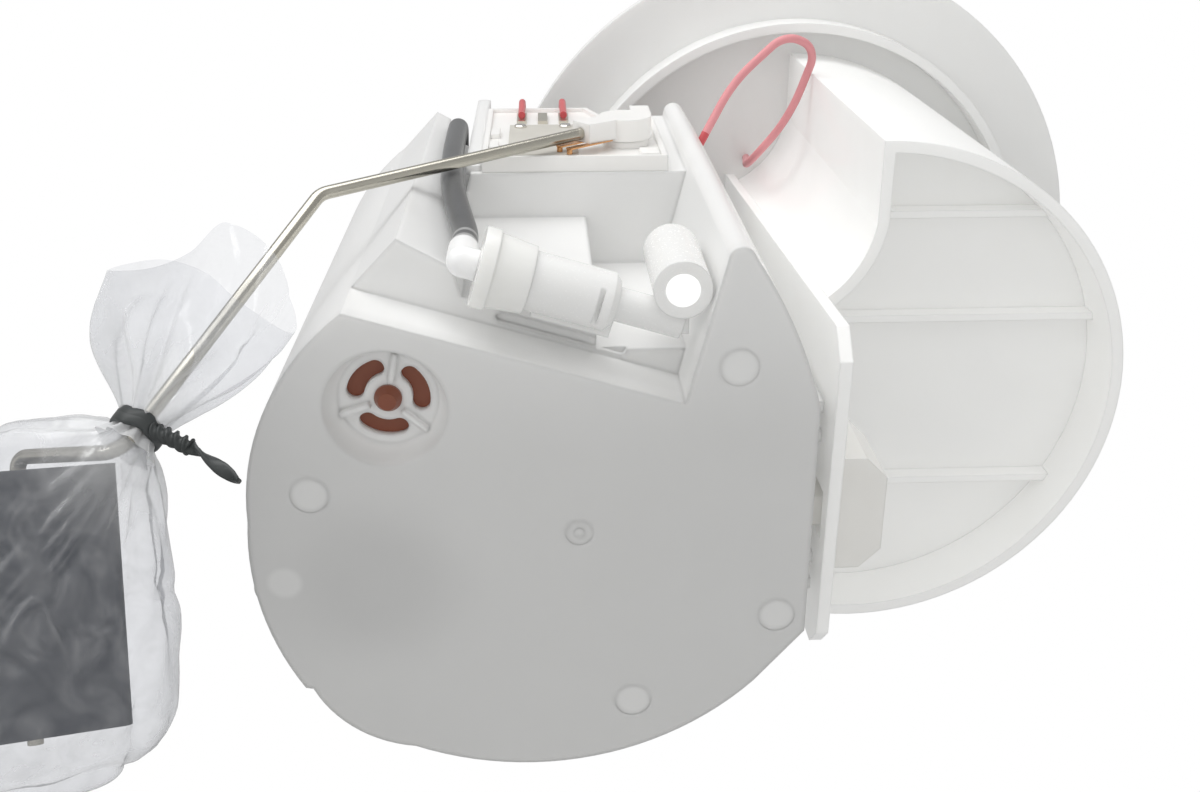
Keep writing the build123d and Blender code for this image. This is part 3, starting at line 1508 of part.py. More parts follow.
ground_bends = bend_radii(ground_route)
print("ground wire radii", ground_bends)
with BuildPart() as ground_wire:
    with BuildLine() as ground_line:
        FilletPolyline(*ground_route, radius=ground_bends)
    with BuildSketch(Plane(origin=ground_line.line @ 0, z_dir=ground_line.line % 0)):
        Circle(wire_radius)
    sweep()
ground_wire.part.label = "ground_wire"
export_step(ground_wire.part, "parts/ground_wire.step")

# Leads inside the cup: one to the rim's notch, one to the ground wire's foot
lead_z = case_top_z + 10.0
terminal_y = pump_y + pump_terminal_at
red_lead = (
    (pump_x + 2.6, terminal_y, lead_z),
    (pump_x + 2.6, terminal_y, lead_z + 8.0),
    (pump_x + 26.0, terminal_y - 4.0, lead_z + 6.0),
    (24.0, -22.0, 103.0),
    (33.3, -38.8, 106.9),
    power_route[0],
)
black_lead = (
    (pump_x - 2.6, terminal_y, lead_z),
    (pump_x - 2.6, terminal_y, lead_z + 11.0),
    (-10.0, 30.0, lead_z + 6.0),
    (ground_route[0][0], ground_route[0][1], 98.0),
    ground_route[0],
)
with BuildPart() as red_wire:
    with BuildLine() as red_line:
        FilletPolyline(*red_lead, radius=bend_radii(red_lead))
    with BuildSketch(Plane(origin=red_line.line @ 0, z_dir=red_line.line % 0)):
        Circle(wire_radius)
    sweep()
red_wire.part.label = "red_wire"
export_step(red_wire.part, "parts/red_wire.step")

with BuildPart() as black_wire:
    with BuildLine() as black_line:
        FilletPolyline(*black_lead, radius=bend_radii(black_lead))
    with BuildSketch(Plane(origin=black_line.line @ 0, z_dir=black_line.line % 0)):
        Circle(wire_radius)
    sweep()
black_wire.part.label = "black_wire"
export_step(black_wire.part, "parts/black_wire.step")
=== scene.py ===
import math

import bmesh
import bpy
from mathutils import Matrix, Vector, noise


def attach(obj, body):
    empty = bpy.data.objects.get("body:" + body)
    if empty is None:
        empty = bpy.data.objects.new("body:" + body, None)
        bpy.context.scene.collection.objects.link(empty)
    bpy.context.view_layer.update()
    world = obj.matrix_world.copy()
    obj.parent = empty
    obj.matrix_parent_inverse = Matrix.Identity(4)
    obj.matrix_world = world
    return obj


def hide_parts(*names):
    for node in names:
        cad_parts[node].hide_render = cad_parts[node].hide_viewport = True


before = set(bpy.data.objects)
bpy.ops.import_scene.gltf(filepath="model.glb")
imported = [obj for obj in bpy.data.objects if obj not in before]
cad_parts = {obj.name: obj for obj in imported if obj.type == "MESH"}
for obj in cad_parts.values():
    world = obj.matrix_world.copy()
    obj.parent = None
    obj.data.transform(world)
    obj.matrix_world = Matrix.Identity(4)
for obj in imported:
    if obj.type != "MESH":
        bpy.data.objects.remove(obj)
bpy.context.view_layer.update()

MM = 0.001
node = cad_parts


# ---------------------------------------------------------------- camera
# A close view from below and in front of the reservoir's base, with the sender at the top.
# The lens is a short normal one, and the camera's up is the side that carries the sender.
VIEW_FROM = Vector((-2.09, -114.85, -200.79)) * MM
VIEW_RIGHT = Vector((0.99896, 0.0, -0.04567))
VIEW_UP = Vector((0.01850, -0.91427, 0.40467))
VIEW_BACK = Vector((-0.04175, -0.40509, -0.91332))
LENS_MM = 39.0

camera_data = bpy.data.cameras.new("camera")
camera_data.lens = LENS_MM
camera_data.sensor_width = 36.0
camera_data.clip_start = 0.01
camera = bpy.data.objects.new("camera", camera_data)
turn = Matrix((VIEW_RIGHT, VIEW_UP, VIEW_BACK)).transposed().to_4x4()
camera.matrix_world = Matrix.Translation(VIEW_FROM) @ turn
bpy.context.scene.collection.objects.link(camera)
bpy.context.scene.camera = camera
bpy.context.scene.view_settings.view_transform = "Standard"


# ---------------------------------------------------------------- world and lamps
# Pale studio: an even dome, a wide soft lamp on the sender's side and a narrow one for gleams.
# The camera and see-through rays meet plain white, and mirrored rays a light grey.
DOME_LEVEL = 0.56
MIRRORED_LEVEL = 0.50


class Field:
    """A value socket with arithmetic: each operator adds its Math node."""

    def __init__(self, tree, socket):
        self.tree = tree
        self.socket = socket

    def math(self, operation, *values):
        added = self.tree.nodes.new("ShaderNodeMath")
        added.operation = operation
        for slot, value in zip(added.inputs, values):
            if isinstance(value, Field):
                self.tree.links.new(value.socket, slot)
            else:
                slot.default_value = value
        return Field(self.tree, added.outputs[0])

    def __add__(self, other):
        return self.math("ADD", self, other)

    def __sub__(self, other):
        return self.math("SUBTRACT", self, other)

    def __mul__(self, other):
        return self.math("MULTIPLY", self, other)

    def __pow__(self, other):
        return self.math("POWER", self, other)

    def clamped(self):
        added = self.math("ADD", self, 0.0)
        added.socket.node.use_clamp = True
        return added


class Tree:
    """A node tree and the one way to add any node but a Math node to it."""

    def __init__(self, tree):
        self.tree = tree
        tree.nodes.clear()

    def add(self, kind, settings=None, sockets=None, out=0):
        added = self.tree.nodes.new("ShaderNode" + kind)
        for name, value in (settings or {}).items():
            setattr(added, name, value)
        for name, value in (sockets or {}).items():
            if isinstance(value, Field):
                self.tree.links.new(value.socket, added.inputs[name])
            else:
                added.inputs[name].default_value = value
        return Field(self.tree, added.outputs[out]) if len(added.outputs) else None


world = bpy.data.worlds.new("studio")
world.use_nodes = True
bpy.context.scene.world = world
sky = Tree(world.node_tree)
seen_white = sky.add("LightPath", out="Is Camera Ray")
seen_white = (seen_white + sky.add("LightPath", out="Is Transmission Ray")).clamped()
mirrored = sky.add("LightPath", out="Is Glossy Ray")
level = seen_white * (1.0 - DOME_LEVEL) + mirrored * (MIRRORED_LEVEL - DOME_LEVEL) + DOME_LEVEL
sky.add("OutputWorld", sockets={"Surface": sky.add(
    "Background", sockets={"Color": (1.0, 1.0, 1.0, 1.0), "Strength": level})})


def soft_lamp(name, place, aim, size, watts):
    """A rectangular lamp at place, in mm, that faces aim."""
    data = bpy.data.lights.new(name, "AREA")
    data.shape = "RECTANGLE"
    data.size = size[0] * MM
    data.size_y = size[1] * MM
    data.energy = watts
    lamp = bpy.data.objects.new(name, data)
    towards = (Vector(aim) - Vector(place)).normalized()
    faced = towards.to_track_quat("-Z", "Y").to_matrix().to_4x4()
    lamp.matrix_world = Matrix.Translation(Vector(place) * MM) @ faced
    bpy.context.scene.collection.objects.link(lamp)


soft_lamp("top_lamp", (-120, -620, 160), (20, 0, 60), (700, 500), 2.7)
soft_lamp("gleam_lamp", (-420, -330, -260), (-40, -10, 10), (90, 420), 0.70)


# ---------------------------------------------------------------- floor
# A plain pale sheet well under the part. The part hangs over it, as it hangs in a tank.
FLOOR_DROP = 215.0
FLOOR_SIDE = 4000.0
FLOOR_SQUARES = 8
SHEET_WHITE = (0.93, 0.93, 0.925, 1.0)
SHEET_GRAIN = 90.0


def new_mesh(name, bm, body=None, smooth=True):
    """Turns a bmesh in millimetres into an object in the row frame."""
    bmesh.ops.scale(bm, vec=(MM, MM, MM), verts=bm.verts)
    data = bpy.data.meshes.new(name)
    bm.to_mesh(data)
    bm.free()
    data.polygons.foreach_set("use_smooth", [smooth] * len(data.polygons))
    made = bpy.data.objects.new(name, data)
    bpy.context.scene.collection.objects.link(made)
    if body:
        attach(made, body)
    return made


bm = bmesh.new()
bmesh.ops.create_grid(bm, x_segments=FLOOR_SQUARES, y_segments=FLOOR_SQUARES, size=FLOOR_SIDE / 2)
bmesh.ops.translate(bm, vec=(0, 0, -FLOOR_DROP), verts=bm.verts)
floor = new_mesh("floor", bm, smooth=False)
floor_paint = bpy.data.materials.new("floor_sheet")
floor_paint.use_nodes = True
sheet_tree = Tree(floor_paint.node_tree)
sheet_grain = sheet_tree.add("TexNoise", sockets={"Scale": SHEET_GRAIN, "Detail": 4.0})
sheet_tree.add("OutputMaterial", sockets={"Surface": sheet_tree.add("BsdfPrincipled", sockets={
    "Base Color": SHEET_WHITE, "Roughness": sheet_grain * 0.2 + 0.7})})
floor.data.materials.append(floor_paint)


# ---------------------------------------------------------------- white moulded resin
# Natural acetal: milky, a little see-through, satin, with faint flow clouds and a mould's
# fine grain. Edges are rounded by the mould. It serves every white moulding of the part.
# The moulding's colour also carries painted shade, painted shadow and a painted glow, set below.
EDGE_ROUND = 0.5
CLOUD_SCALE = 0.035
CLOUD_CONTRAST = 0.035
CLOUD_HEIGHT = 6.0
GRAIN_SCALE = 2.6
GRAIN_HEIGHT = 0.012
GRAIN_ROUGHNESS = 0.10
# Painted shade for undersides: the darker colour, the heights over which it fades out, and how it
# lessens towards the sender.
PAINTED_UNDERSIDE_SHADE = (0.30, 0.30, 0.295, 1.0)
FOOT_HEIGHT = (0.2, 4.0)
FOOT_DEPTH = (-52.0, -12.0)
FOOT_LEAST = 0.25
# HOLE_EDGE is the soft edge of the painted glow at through holes.
HOLE_EDGE = 0.15


def shade(colour, factor):
    return tuple(c * factor for c in colour) + (1.0,)


def place_in_mm(tree):
    """Object coordinates in millimetres."""
    where = tree.add("TexCoord", out="Object")
    return tree.add("VectorMath", {"operation": "SCALE"}, {0: where, "Scale": 1.0 / MM})


def blend_colours(tree, factor, low, high):
    return tree.add("Mix", {"data_type": "RGBA"}, {0: factor, 6: low, 7: high}, out=2)


def ball_mask(tree, where, centre, radius, soft):
    """1 inside a ball, in mm, falling to 0 over the soft distance."""
    away = tree.add("VectorMath", {"operation": "DISTANCE"}, {0: where, 1: centre}, out="Value")
    return tree.add("MapRange", {"interpolation_type": "SMOOTHSTEP"}, {
        "Value": away, "From Min": radius, "From Max": radius + soft, "To Min": 1.0, "To Max": 0.0})


def painted_shade_mask(tree, where, strength):
    """The share of painted shade: strength on the part's underside, less of it towards the sender,
    and 0 above the foot.
    """
    height = tree.add("SeparateXYZ", sockets={0: where}, out="Z")
    under = tree.add("MapRange", sockets={
        "Value": height, "From Min": FOOT_HEIGHT[0], "From Max": FOOT_HEIGHT[1],
        "To Min": strength, "To Max": 0.0})
    depth = tree.add("SeparateXYZ", sockets={0: where}, out="Y")
    inward = tree.add("MapRange", {"interpolation_type": "SMOOTHSTEP"}, {
        "Value": depth, "From Min": FOOT_DEPTH[0], "From Max": FOOT_DEPTH[1],
        "To Min": FOOT_LEAST, "To Max": 1.0})
    return (under * inward).clamped()


def resin(name, colour, rough=0.34, through=0.25, spots=(), round_mm=EDGE_ROUND, lit=0.03,
          painted_foot_shade=0.0, lit_holes=()):
    """A white moulding. spots are (centre, radius, soft, share, colour) of patches painted in its
    colour, such as painted shadow; lit is a painted glow standing in for daylight through its wall
    from behind; the foot shade is how much painted shade darkens its underside; and lit_holes are
    (x and y, radius, level) of upright through holes with a brighter painted glow."""
    made = bpy.data.materials.new(name)
    made.use_nodes = True
    tree = Tree(made.node_tree)
    where = place_in_mm(tree)
    flow = tree.add("TexNoise", sockets={
        "Vector": where, "Scale": CLOUD_SCALE, "Detail": 3.0, "Distortion": 0.8})
    tint = blend_colours(
        tree, flow, shade(colour, 1.0 - CLOUD_CONTRAST), shade(colour, 1.0 + CLOUD_CONTRAST))
    # Painted shade: the underside's colour is blended towards a darker grey.
    if painted_foot_shade:
        tint = blend_colours(tree, painted_shade_mask(tree, where, painted_foot_shade), tint, PAINTED_UNDERSIDE_SHADE)
    # Painted patches in the colour, such as painted shadow of parts behind the wall, and paler
    # marks.
    for centre, radius, soft, share, spot_colour in spots:
        mask = ball_mask(tree, where, centre, radius, soft) * share
        tint = blend_colours(tree, mask, tint, spot_colour)
    # Painted glow: an emission in the moulding's colour stands in for daylight through its wall,
    # brighter at the through holes.
    painted_glow = shade(colour, lit)
    for (x, y), radius, level in lit_holes:
        plan = tree.add("VectorMath", {"operation": "MULTIPLY"}, {0: where, 1: (1.0, 1.0, 0.0)})
        hole = ball_mask(tree, plan, (x, y, 0.0), radius, HOLE_EDGE)
        painted_glow = blend_colours(tree, hole, painted_glow, (level, level, level, 1.0))
    fine = tree.add("TexNoise", sockets={"Vector": where, "Scale": GRAIN_SCALE, "Detail": 5.0})
    edge = tree.add("Bevel", {"samples": 4}, {"Radius": round_mm * MM})
    bump = tree.add("Bump", sockets={
        "Strength": 0.35, "Distance": GRAIN_HEIGHT * MM, "Height": fine + flow * CLOUD_HEIGHT,
        "Normal": edge})
    body = tree.add("BsdfPrincipled", sockets={
        "Base Color": tint, "Roughness": fine * GRAIN_ROUGHNESS + (rough - GRAIN_ROUGHNESS / 2),
        "Normal": bump, "Subsurface Weight": through, "Subsurface Radius": (1.0, 0.97, 0.92),
        "Subsurface Scale": 2.5 * MM, "Coat Weight": 0.25, "Coat Roughness": 0.12,
        "Emission Color": painted_glow, "Emission Strength": 1.0})
    tree.add("OutputMaterial", sockets={"Surface": body})
    return made


def dress(names, material):
    """Gives CAD nodes their finish."""
    for name in names:
        data = node[name].data
        data.materials.clear()
        data.materials.append(material)


# ---------------------------------------------------------------- reservoir cup
# The sprung bowl that stands on the tank's floor, moulded in white resin. The pump and its sleeve
# behind its floor are painted in as a soft dark patch of painted shadow, its underside gets painted
# shade, its wall a faint painted glow, and the ejectors left paler discs.
PUMP_SHADOW = ((-33.0, 10.0, 0.0), 5.0, 17.0, 0.16, (0.10, 0.10, 0.105, 1.0))
MARK_PLACES = ((-43.3, -7.9), (13.3, 37.2), (39.6, 19.0), (30.7, -30.5), (-49.2, 9.6))
MARK_COLOUR = (0.86, 0.86, 0.85, 1.0)
MARK_CORE = 2.2
MARK_EDGE = 1.5
MARK_SHARE = 0.34
MARKS = tuple(((x, y, 0.0), MARK_CORE, MARK_EDGE, MARK_SHARE, MARK_COLOUR) for x, y in MARK_PLACES)
CUP_ROUND = 1.4

dress(["reservoir_cup"], resin(
    "cup_resin", colour=(0.79, 0.79, 0.782), rough=0.30, spots=(PUMP_SHADOW,) + MARKS,
    round_mm=CUP_ROUND, lit=0.06, painted_foot_shade=0.38))


# ---------------------------------------------------------------- flange and filter housing
# Two large white mouldings: the round tank flange with its spigot and, hung under it, the
# filter's housing with its skirt, pocket wall and guide leg. The fuel outlet's stub and the
# seat of the slide's spring are small mouldings of the same resin.
# All of these carry a painted glow, an emission standing in for light through their walls.
dress(["flange"], resin("flange_resin", colour=(0.83, 0.83, 0.82), rough=0.42, lit=0.05))
dress(["filter_housing", "filter_floor"], resin(
    "housing_resin", colour=(0.88, 0.88, 0.868), rough=0.42, lit=0.13))
dress(["outlet_stub"], resin("stub_resin", colour=(0.78, 0.78, 0.76), rough=0.30))
dress(["spring_seat"], resin("seat_resin", colour=(0.84, 0.83, 0.80), rough=0.38))


# ---------------------------------------------------------------- jet pump mouldings
# The tube and port under the notch are bright white with a painted glow, and a brighter painted
# glow in the port's bore stands in for daylight through it.
# The clear cap and elbow at the tube's end are the same resin left a little glassier.
# The port's bore: its place, radius and the level of its painted glow.
PORT_BORE_GLOW = ((21.0, -43.7), 2.85, 0.45)

dress(["jet_pump_body"], resin(
    "jet_resin", colour=(0.80, 0.80, 0.79), rough=0.26, lit=0.07, lit_holes=(PORT_BORE_GLOW,)))
dress(["jet_cap"], resin("cap_resin", colour=(0.80, 0.80, 0.78), rough=0.22, through=0.5, lit=0.09))
dress(["jet_nozzle"], resin("elbow_resin", colour=(0.88, 0.88, 0.88), rough=0.24))


# ---------------------------------------------------------------- sender mouldings
# The plate that clips to the cup's front and the arm's hub. Both are the same white resin as
# the cup in a thinner wall, with a stronger painted glow standing in for the light that comes
# through.
dress(["sender_housing", "arm_holder"], resin(
    "sender_resin", colour=(0.84, 0.83, 0.81), rough=0.30, lit=0.08))


# ---------------------------------------------------------------- inner mouldings
# Mouldings inside the cup and the filter: the pump's retainer, the outlet tee with the
# regulator's holder, and the filter element's two end caps.
# They carry the faint default painted glow.
dress(["pump_retainer", "regulator_holder"], resin("retainer_resin", colour=(0.78, 0.78, 0.76)))
dress(["filter_caps"], resin("filter_cap_resin", colour=(0.70, 0.70, 0.66), rough=0.45))


# ---------------------------------------------------------------- float arm
# One length of bright drawn spring wire, bent at four places. Its skin is smooth, with faint
# changes of gloss and tint along it.
STEEL = (0.50, 0.48, 0.42)
SKIN_SCALE = 5.0
TARNISH_SCALE = 0.09
SKIN_HEIGHT = 0.01


def metal(name, colour, rough=0.24, stain=0.12):
    """Bare metal with a fine skin and a light uneven tarnish."""
    made = bpy.data.materials.new(name)
    made.use_nodes = True
    tree = Tree(made.node_tree)
    where = place_in_mm(tree)
    skin = tree.add("TexNoise", sockets={"Vector": where, "Scale": SKIN_SCALE, "Detail": 3.0})
    patch = tree.add("TexNoise", sockets={"Vector": where, "Scale": TARNISH_SCALE, "Detail": 3.0})
    tint = blend_colours(tree, patch, shade(colour, 1.0 - stain), shade(colour, 1.0 + stain))
    bump = tree.add("Bump", sockets={
        "Strength": 0.12, "Distance": SKIN_HEIGHT * MM, "Height": skin})
    body = tree.add("BsdfPrincipled", sockets={
        "Base Color": tint, "Metallic": 1.0, "Normal": bump,
        "Roughness": skin * 0.12 + patch * 0.08 + (rough - 0.10)})
    tree.add("OutputMaterial", sockets={"Surface": body})
    return made


dress(["float_arm"], metal("drawn_steel", STEEL))


# ---------------------------------------------------------------- other bare metal
# Spring steel, the pump's tin-plated can, ground shaft, tin-plated pins and terminals, the
# card's rivets, copper contacts, and the dull grey ferrite and iron of the motor.
METALS = (
    (("slide_spring", "regulator_clip"), "spring_steel", (0.50, 0.50, 0.50), 0.28, 0.12),
    (("pump_case",), "tin_plate", (0.62, 0.62, 0.60), 0.34, 0.08),
    (("rotor_shaft",), "ground_steel", (0.66, 0.66, 0.66), 0.16, 0.12),
    (("pressure_regulator",), "passivated_steel", (0.64, 0.60, 0.48), 0.30, 0.12),
    (("connector_pins", "pump_terminals", "sender_terminals"), "tinned_brass",
     (0.66, 0.63, 0.55), 0.30, 0.12),
    (("card_rivets",), "nickel_silver", (0.72, 0.70, 0.66), 0.14, 0.12),
    (("wiper_contacts",), "contact_copper", (0.62, 0.33, 0.15), 0.26, 0.20),
    (("field_magnets",), "ferrite", (0.10, 0.10, 0.105), 0.62, 0.15),
    (("armature",), "armature_iron", (0.30, 0.24, 0.20), 0.40, 0.30))

for names, finish, colour, rough, stain in METALS:
    dress(names, metal(finish, colour, rough=rough, stain=stain))


# ---------------------------------------------------------------- rubber, nylon and paper
# Dark fuel hoses, brown fluoro-rubber valve, black nitrile sleeve and seal, black nylon,
# foam, the ceramic card, the strainer's mesh and the filter's paper.
HOSE_RING = (0.32, 0.32, 0.32, 1.0)
HOSE_RINGS = ((16.4, 0.8, HOSE_RING), (19.6, 0.8, HOSE_RING))
PORE_SCALE = 3.2
PORE_HEIGHT = 0.02
PATCH_SCALE = 0.16


def rubber(name, colour, rough, sheen=0.08, speck=0.10, bands=()):
    """A matt elastomer or filled nylon. bands are (height, half width, colour) rings in mm."""
    made = bpy.data.materials.new(name)
    made.use_nodes = True
    tree = Tree(made.node_tree)
    where = place_in_mm(tree)
    fine = tree.add("TexNoise", sockets={"Vector": where, "Scale": PORE_SCALE, "Detail": 5.0})
    patch = tree.add("TexNoise", sockets={"Vector": where, "Scale": PATCH_SCALE, "Detail": 2.0})
    tint = blend_colours(tree, patch, shade(colour, 1.0 - speck), shade(colour, 1.0 + speck))
    height = tree.add("SeparateXYZ", sockets={0: where}, out="Z")
    for middle, half, ring_colour in bands:
        away = height.math("ABSOLUTE", height - middle)
        ring = tree.add("MapRange", {"interpolation_type": "SMOOTHSTEP"}, {
            "Value": away, "From Min": half * 0.6, "From Max": half, "To Min": 1.0, "To Max": 0.0})
        tint = blend_colours(tree, ring, tint, ring_colour)
    bump = tree.add("Bump", sockets={"Strength": 0.4, "Distance": PORE_HEIGHT * MM, "Height": fine})
    body = tree.add("BsdfPrincipled", sockets={
        "Base Color": tint, "Roughness": fine * 0.15 + (rough - 0.07), "Normal": bump,
        "Sheen Weight": sheen})
    tree.add("OutputMaterial", sockets={"Surface": body})
    return made


dress(["jet_hose"], rubber("hose_rubber", (0.075, 0.077, 0.080), rough=0.34, bands=HOSE_RINGS))
RUBBERS = (
    (("inlet_valve",), "valve_rubber", (0.23, 0.066, 0.032), 0.42, 0.12),
    (("pump_sleeve", "regulator_seal"), "nitrile", (0.022, 0.022, 0.024), 0.55, 0.10),
    (("pump_inlet_cover", "pump_outlet_cover", "pump_mid_plate"), "pump_nylon",
     (0.05, 0.05, 0.055), 0.45, 0.10),
    (("impeller",), "impeller_phenolic", (0.10, 0.055, 0.03), 0.50, 0.10),
    (("carbon_brushes",), "brush_carbon", (0.03, 0.03, 0.03), 0.60, 0.10),
    (("pump_hose",), "tank_hose", (0.06, 0.06, 0.065), 0.42, 0.10),
    (("float_block",), "float_foam", (0.030, 0.037, 0.055), 0.48, 0.07),
    (("resistor_card",), "card_ceramic", (0.55, 0.53, 0.48), 0.40, 0.10),
    (("suction_strainer",), "strainer_mesh", (0.52, 0.52, 0.50), 0.60, 0.10),
    (("filter_element",), "filter_paper", (0.62, 0.50, 0.30), 0.80, 0.10))

for names, finish, colour, rough, speck in RUBBERS:
    dress(names, rubber(finish, colour, rough=rough, speck=speck))


# ---------------------------------------------------------------- insulated leads
# Thin PVC leads: red supply and black return, smooth with a faint extruded grain. The long
# red lead to the flange is painted a paler pink: painted light for the haze and the light through
# its insulation.
LEADS = (
    (("red_wire", "sender_wires"), "red_lead", (0.58, 0.08, 0.09), 0.32),
    # The pale pink lead is painted light: haze and light through its insulation painted into its
    # colour.
    (("power_wire",), "pale_red_lead_painted_light", (0.74, 0.30, 0.32), 0.40),
    (("ground_wire", "black_wire"), "black_lead", (0.02, 0.02, 0.02), 0.32))

for names, finish, colour, rough in LEADS:
    dress(names, rubber(finish, colour, rough=rough, sheen=0.0))


# ---------------------------------------------------------------- transit bag: pouch
# A clear polythene bag pulled over the float for transit, with room for the float to turn on
# its pin. It is gathered at one top corner, from where folds run out over the pouch, and its
# closed end narrows to a flat seam.
PIN_FOOT = Vector((-87.353, 0.708, -15.978))
PIN_AXIS = Vector((0.064184, 0.892155, -0.447147))
FLOAT_FACES = Vector((0.370, -0.437, -0.820))
FLOAT_ROOM = (16.6, 12.4)
FLOAT_ENDS = (-20.8, 22.6)
ARM_BEND_2 = Vector((-43.0, -51.7, 35.9))
ARM_BEND_3 = Vector((-69.5, -23.3, -12.8))
ARM_BEND_4 = Vector((-88.8, -19.4, -5.9))
ARM_RUN = (ARM_BEND_2 - ARM_BEND_3).normalized()
ARM_SLEEVE = 2.7
TIE_ALONG = 5.0
TIE_MIDDLE = ARM_BEND_3 + ARM_RUN * TIE_ALONG
ARM_IN_BAG = (TIE_MIDDLE, ARM_BEND_3, ARM_BEND_4)

POUCH_FINENESS = 6
POUCH_HALF = (23.0, 13.6, 31.0)
POUCH_MIDDLE = 2.0
POUCH_SQUARE = 3.6
SEAM_FROM = 21.0
SEAM_TAPER = 12.0
SEAM_FLATTENS = 0.72
SEAM_CURVE = 1.3
SEAM_NARROWS = 0.10
GATHER_CORNER = Vector((15.5, 12.4, -22.0))
GATHER_REACH = 27.0
GATHER_POWER = 1.7
GATHER_FULL = 1.15
NECK_RADIUS = 3.1
FOLD_COUNT = 13
FOLD_HEIGHT = 1.6
FOLD_FADE = 20.0
FOLD_TWIST = (2.5, 0.06)
CREASE_SHARPNESS = 4.5
CREASE_STRETCH = 0.35
LONG_CREASE = (2.2, 0.060, 3.0)
CROSS_CREASE = (0.8, 0.08, 11.0)
SWELL = (0.6, 0.09)
POUCH_RELAX = 0.4

across = (FLOAT_FACES - PIN_AXIS * FLOAT_FACES.dot(PIN_AXIS)).normalized()
wide = across.cross(PIN_AXIS)
to_world = Matrix((wide, across, PIN_AXIS)).transposed()
tie_local = to_world.transposed() @ (TIE_MIDDLE - PIN_FOOT)
gather_axis = (GATHER_CORNER - tie_local).normalized()
fold_right = gather_axis.orthogonal().normalized()
fold_up = gather_axis.cross(fold_right)


def crease(where, scale, seed):
    """Sharp folds of film: 0 in the flats, up to 1 on the ridges."""
    value = noise.noise(Vector(where) * scale + Vector((seed, 2.0 * seed, -seed)))
    return max(0.0, 1.0 - CREASE_SHARPNESS * abs(value)) ** 2


def clear_of_arm(spot):
    """Moves a point of film that would cut the arm out to the arm's side."""
    for start, end in zip(ARM_IN_BAG, ARM_IN_BAG[1:]):
        run = end - start
        share = max(0.0, min(1.0, (spot - start).dot(run) / run.length_squared))
        away = spot - (start + run * share)
        if 0.0 < away.length < ARM_SLEEVE:
            spot = spot + away * (ARM_SLEEVE / away.length - 1.0)
    return spot


def clear_of_float(spot):
    """Moves a point of film that is in the float's room out to the nearer side of it."""
    room_x = FLOAT_ROOM[0] - abs(spot.x)
    room_y = FLOAT_ROOM[1] - abs(spot.y)
    if FLOAT_ENDS[0] < spot.z < FLOAT_ENDS[1] and room_x > 0 and room_y > 0:
        if room_y < room_x:
            spot.y += math.copysign(room_y, spot.y)
        else:
            spot.x += math.copysign(room_x, spot.x)
    return spot


def pouch_point(direction):
    """Where a point of the unit ball goes on the pouch, in the float's own axes."""
    spread = sum(abs(direction[n] / POUCH_HALF[n]) ** POUCH_SQUARE for n in range(3))
    spot = direction * spread ** (-1.0 / POUCH_SQUARE) + Vector((0, 0, POUCH_MIDDLE))
    seam = max(0.0, (spot.z - SEAM_FROM) / SEAM_TAPER)
    spot.y *= 1.0 - SEAM_FLATTENS * min(1.0, seam) ** SEAM_CURVE
    spot.x *= 1.0 - SEAM_NARROWS * min(1.0, seam)

    gap = (spot - GATHER_CORNER).length
    pull = max(0.0, 1.0 - gap / GATHER_REACH)
    away = spot - tie_local
    angle = math.atan2(away.dot(fold_up), away.dot(fold_right))
    fold = math.sin(FOLD_COUNT * angle + FOLD_TWIST[0] * noise.noise(spot * FOLD_TWIST[1]))
    outward = Vector((direction.x, direction.y, direction.z * 0.5)).normalized()
    spot += outward * fold * FOLD_HEIGHT * math.exp(-gap / FOLD_FADE)
    long_way = Vector((spot.x, spot.y, spot.z * CREASE_STRETCH))
    spot -= outward * (LONG_CREASE[0] * crease(long_way, *LONG_CREASE[1:])
                       + CROSS_CREASE[0] * crease(spot, *CROSS_CREASE[1:]))
    spot += outward * SWELL[0] * noise.noise(spot * SWELL[1])

    neck_side = (away - gather_axis * away.dot(gather_axis)).normalized()
    neck = tie_local + neck_side * NECK_RADIUS
    spot = spot.lerp(neck, min(1.0, pull ** GATHER_POWER * GATHER_FULL))
    return clear_of_float(spot)


bm = bmesh.new()
bmesh.ops.create_icosphere(bm, subdivisions=POUCH_FINENESS, radius=1.0)
for vert in bm.verts:
    vert.co = clear_of_arm(PIN_FOOT + to_world @ pouch_point(vert.co.normalized()))
bmesh.ops.smooth_vert(
    bm, verts=bm.verts, factor=POUCH_RELAX, use_axis_x=True, use_axis_y=True, use_axis_z=True)
pouch = new_mesh("bag_pouch", bm, "level_arm")


# ---------------------------------------------------------------- transit bag: mouth
# Above the tie the film fans out round the arm into an open, crumpled mouth. Its cut rim is
# higher on the far side, where a flap stands up. Below the tie it meets the pouch.
RIM = [Vector(point) for point in (
    (-70.8, -50.3, -2.9), (-62.7, -51.2, -0.7), (-55.9, -49.0, -0.9), (-50.4, -44.7, -3.1),
    (-42.6, -39.4, -3.5), (-43.5, -42.6, 3.4), (-48.1, -48.0, 13.6), (-56.6, -51.5, 18.9),
    (-62.3, -47.4, 15.1), (-67.1, -47.1, 7.5))]
RIM_SEGMENTS = 120
MOUTH_STEPS = 34
MOUTH_FOLDS = 9
MOUTH_SPREAD = 0.8
MOUTH_BELLY = 2.6
MOUTH_FOLD_HEIGHT = 1.1
MOUTH_TWIST = 3.0
MOUTH_CREASE = (2.2, 0.075, 5.0)
NECK_PLEAT = 0.5
NECK_FOOT = ((4.2, 1.9), (3.0, 1.0), (2.0, 0.4), (1.0, 0.1))


def between(before, here, after, beyond, share):
    """A point of the smooth line through four points, between the middle two."""
    return 0.5 * (2 * here + (after - before) * share
                  + (2 * before - 5 * here + 4 * after - beyond) * share ** 2
                  + (3 * here - before - 3 * after + beyond) * share ** 3)


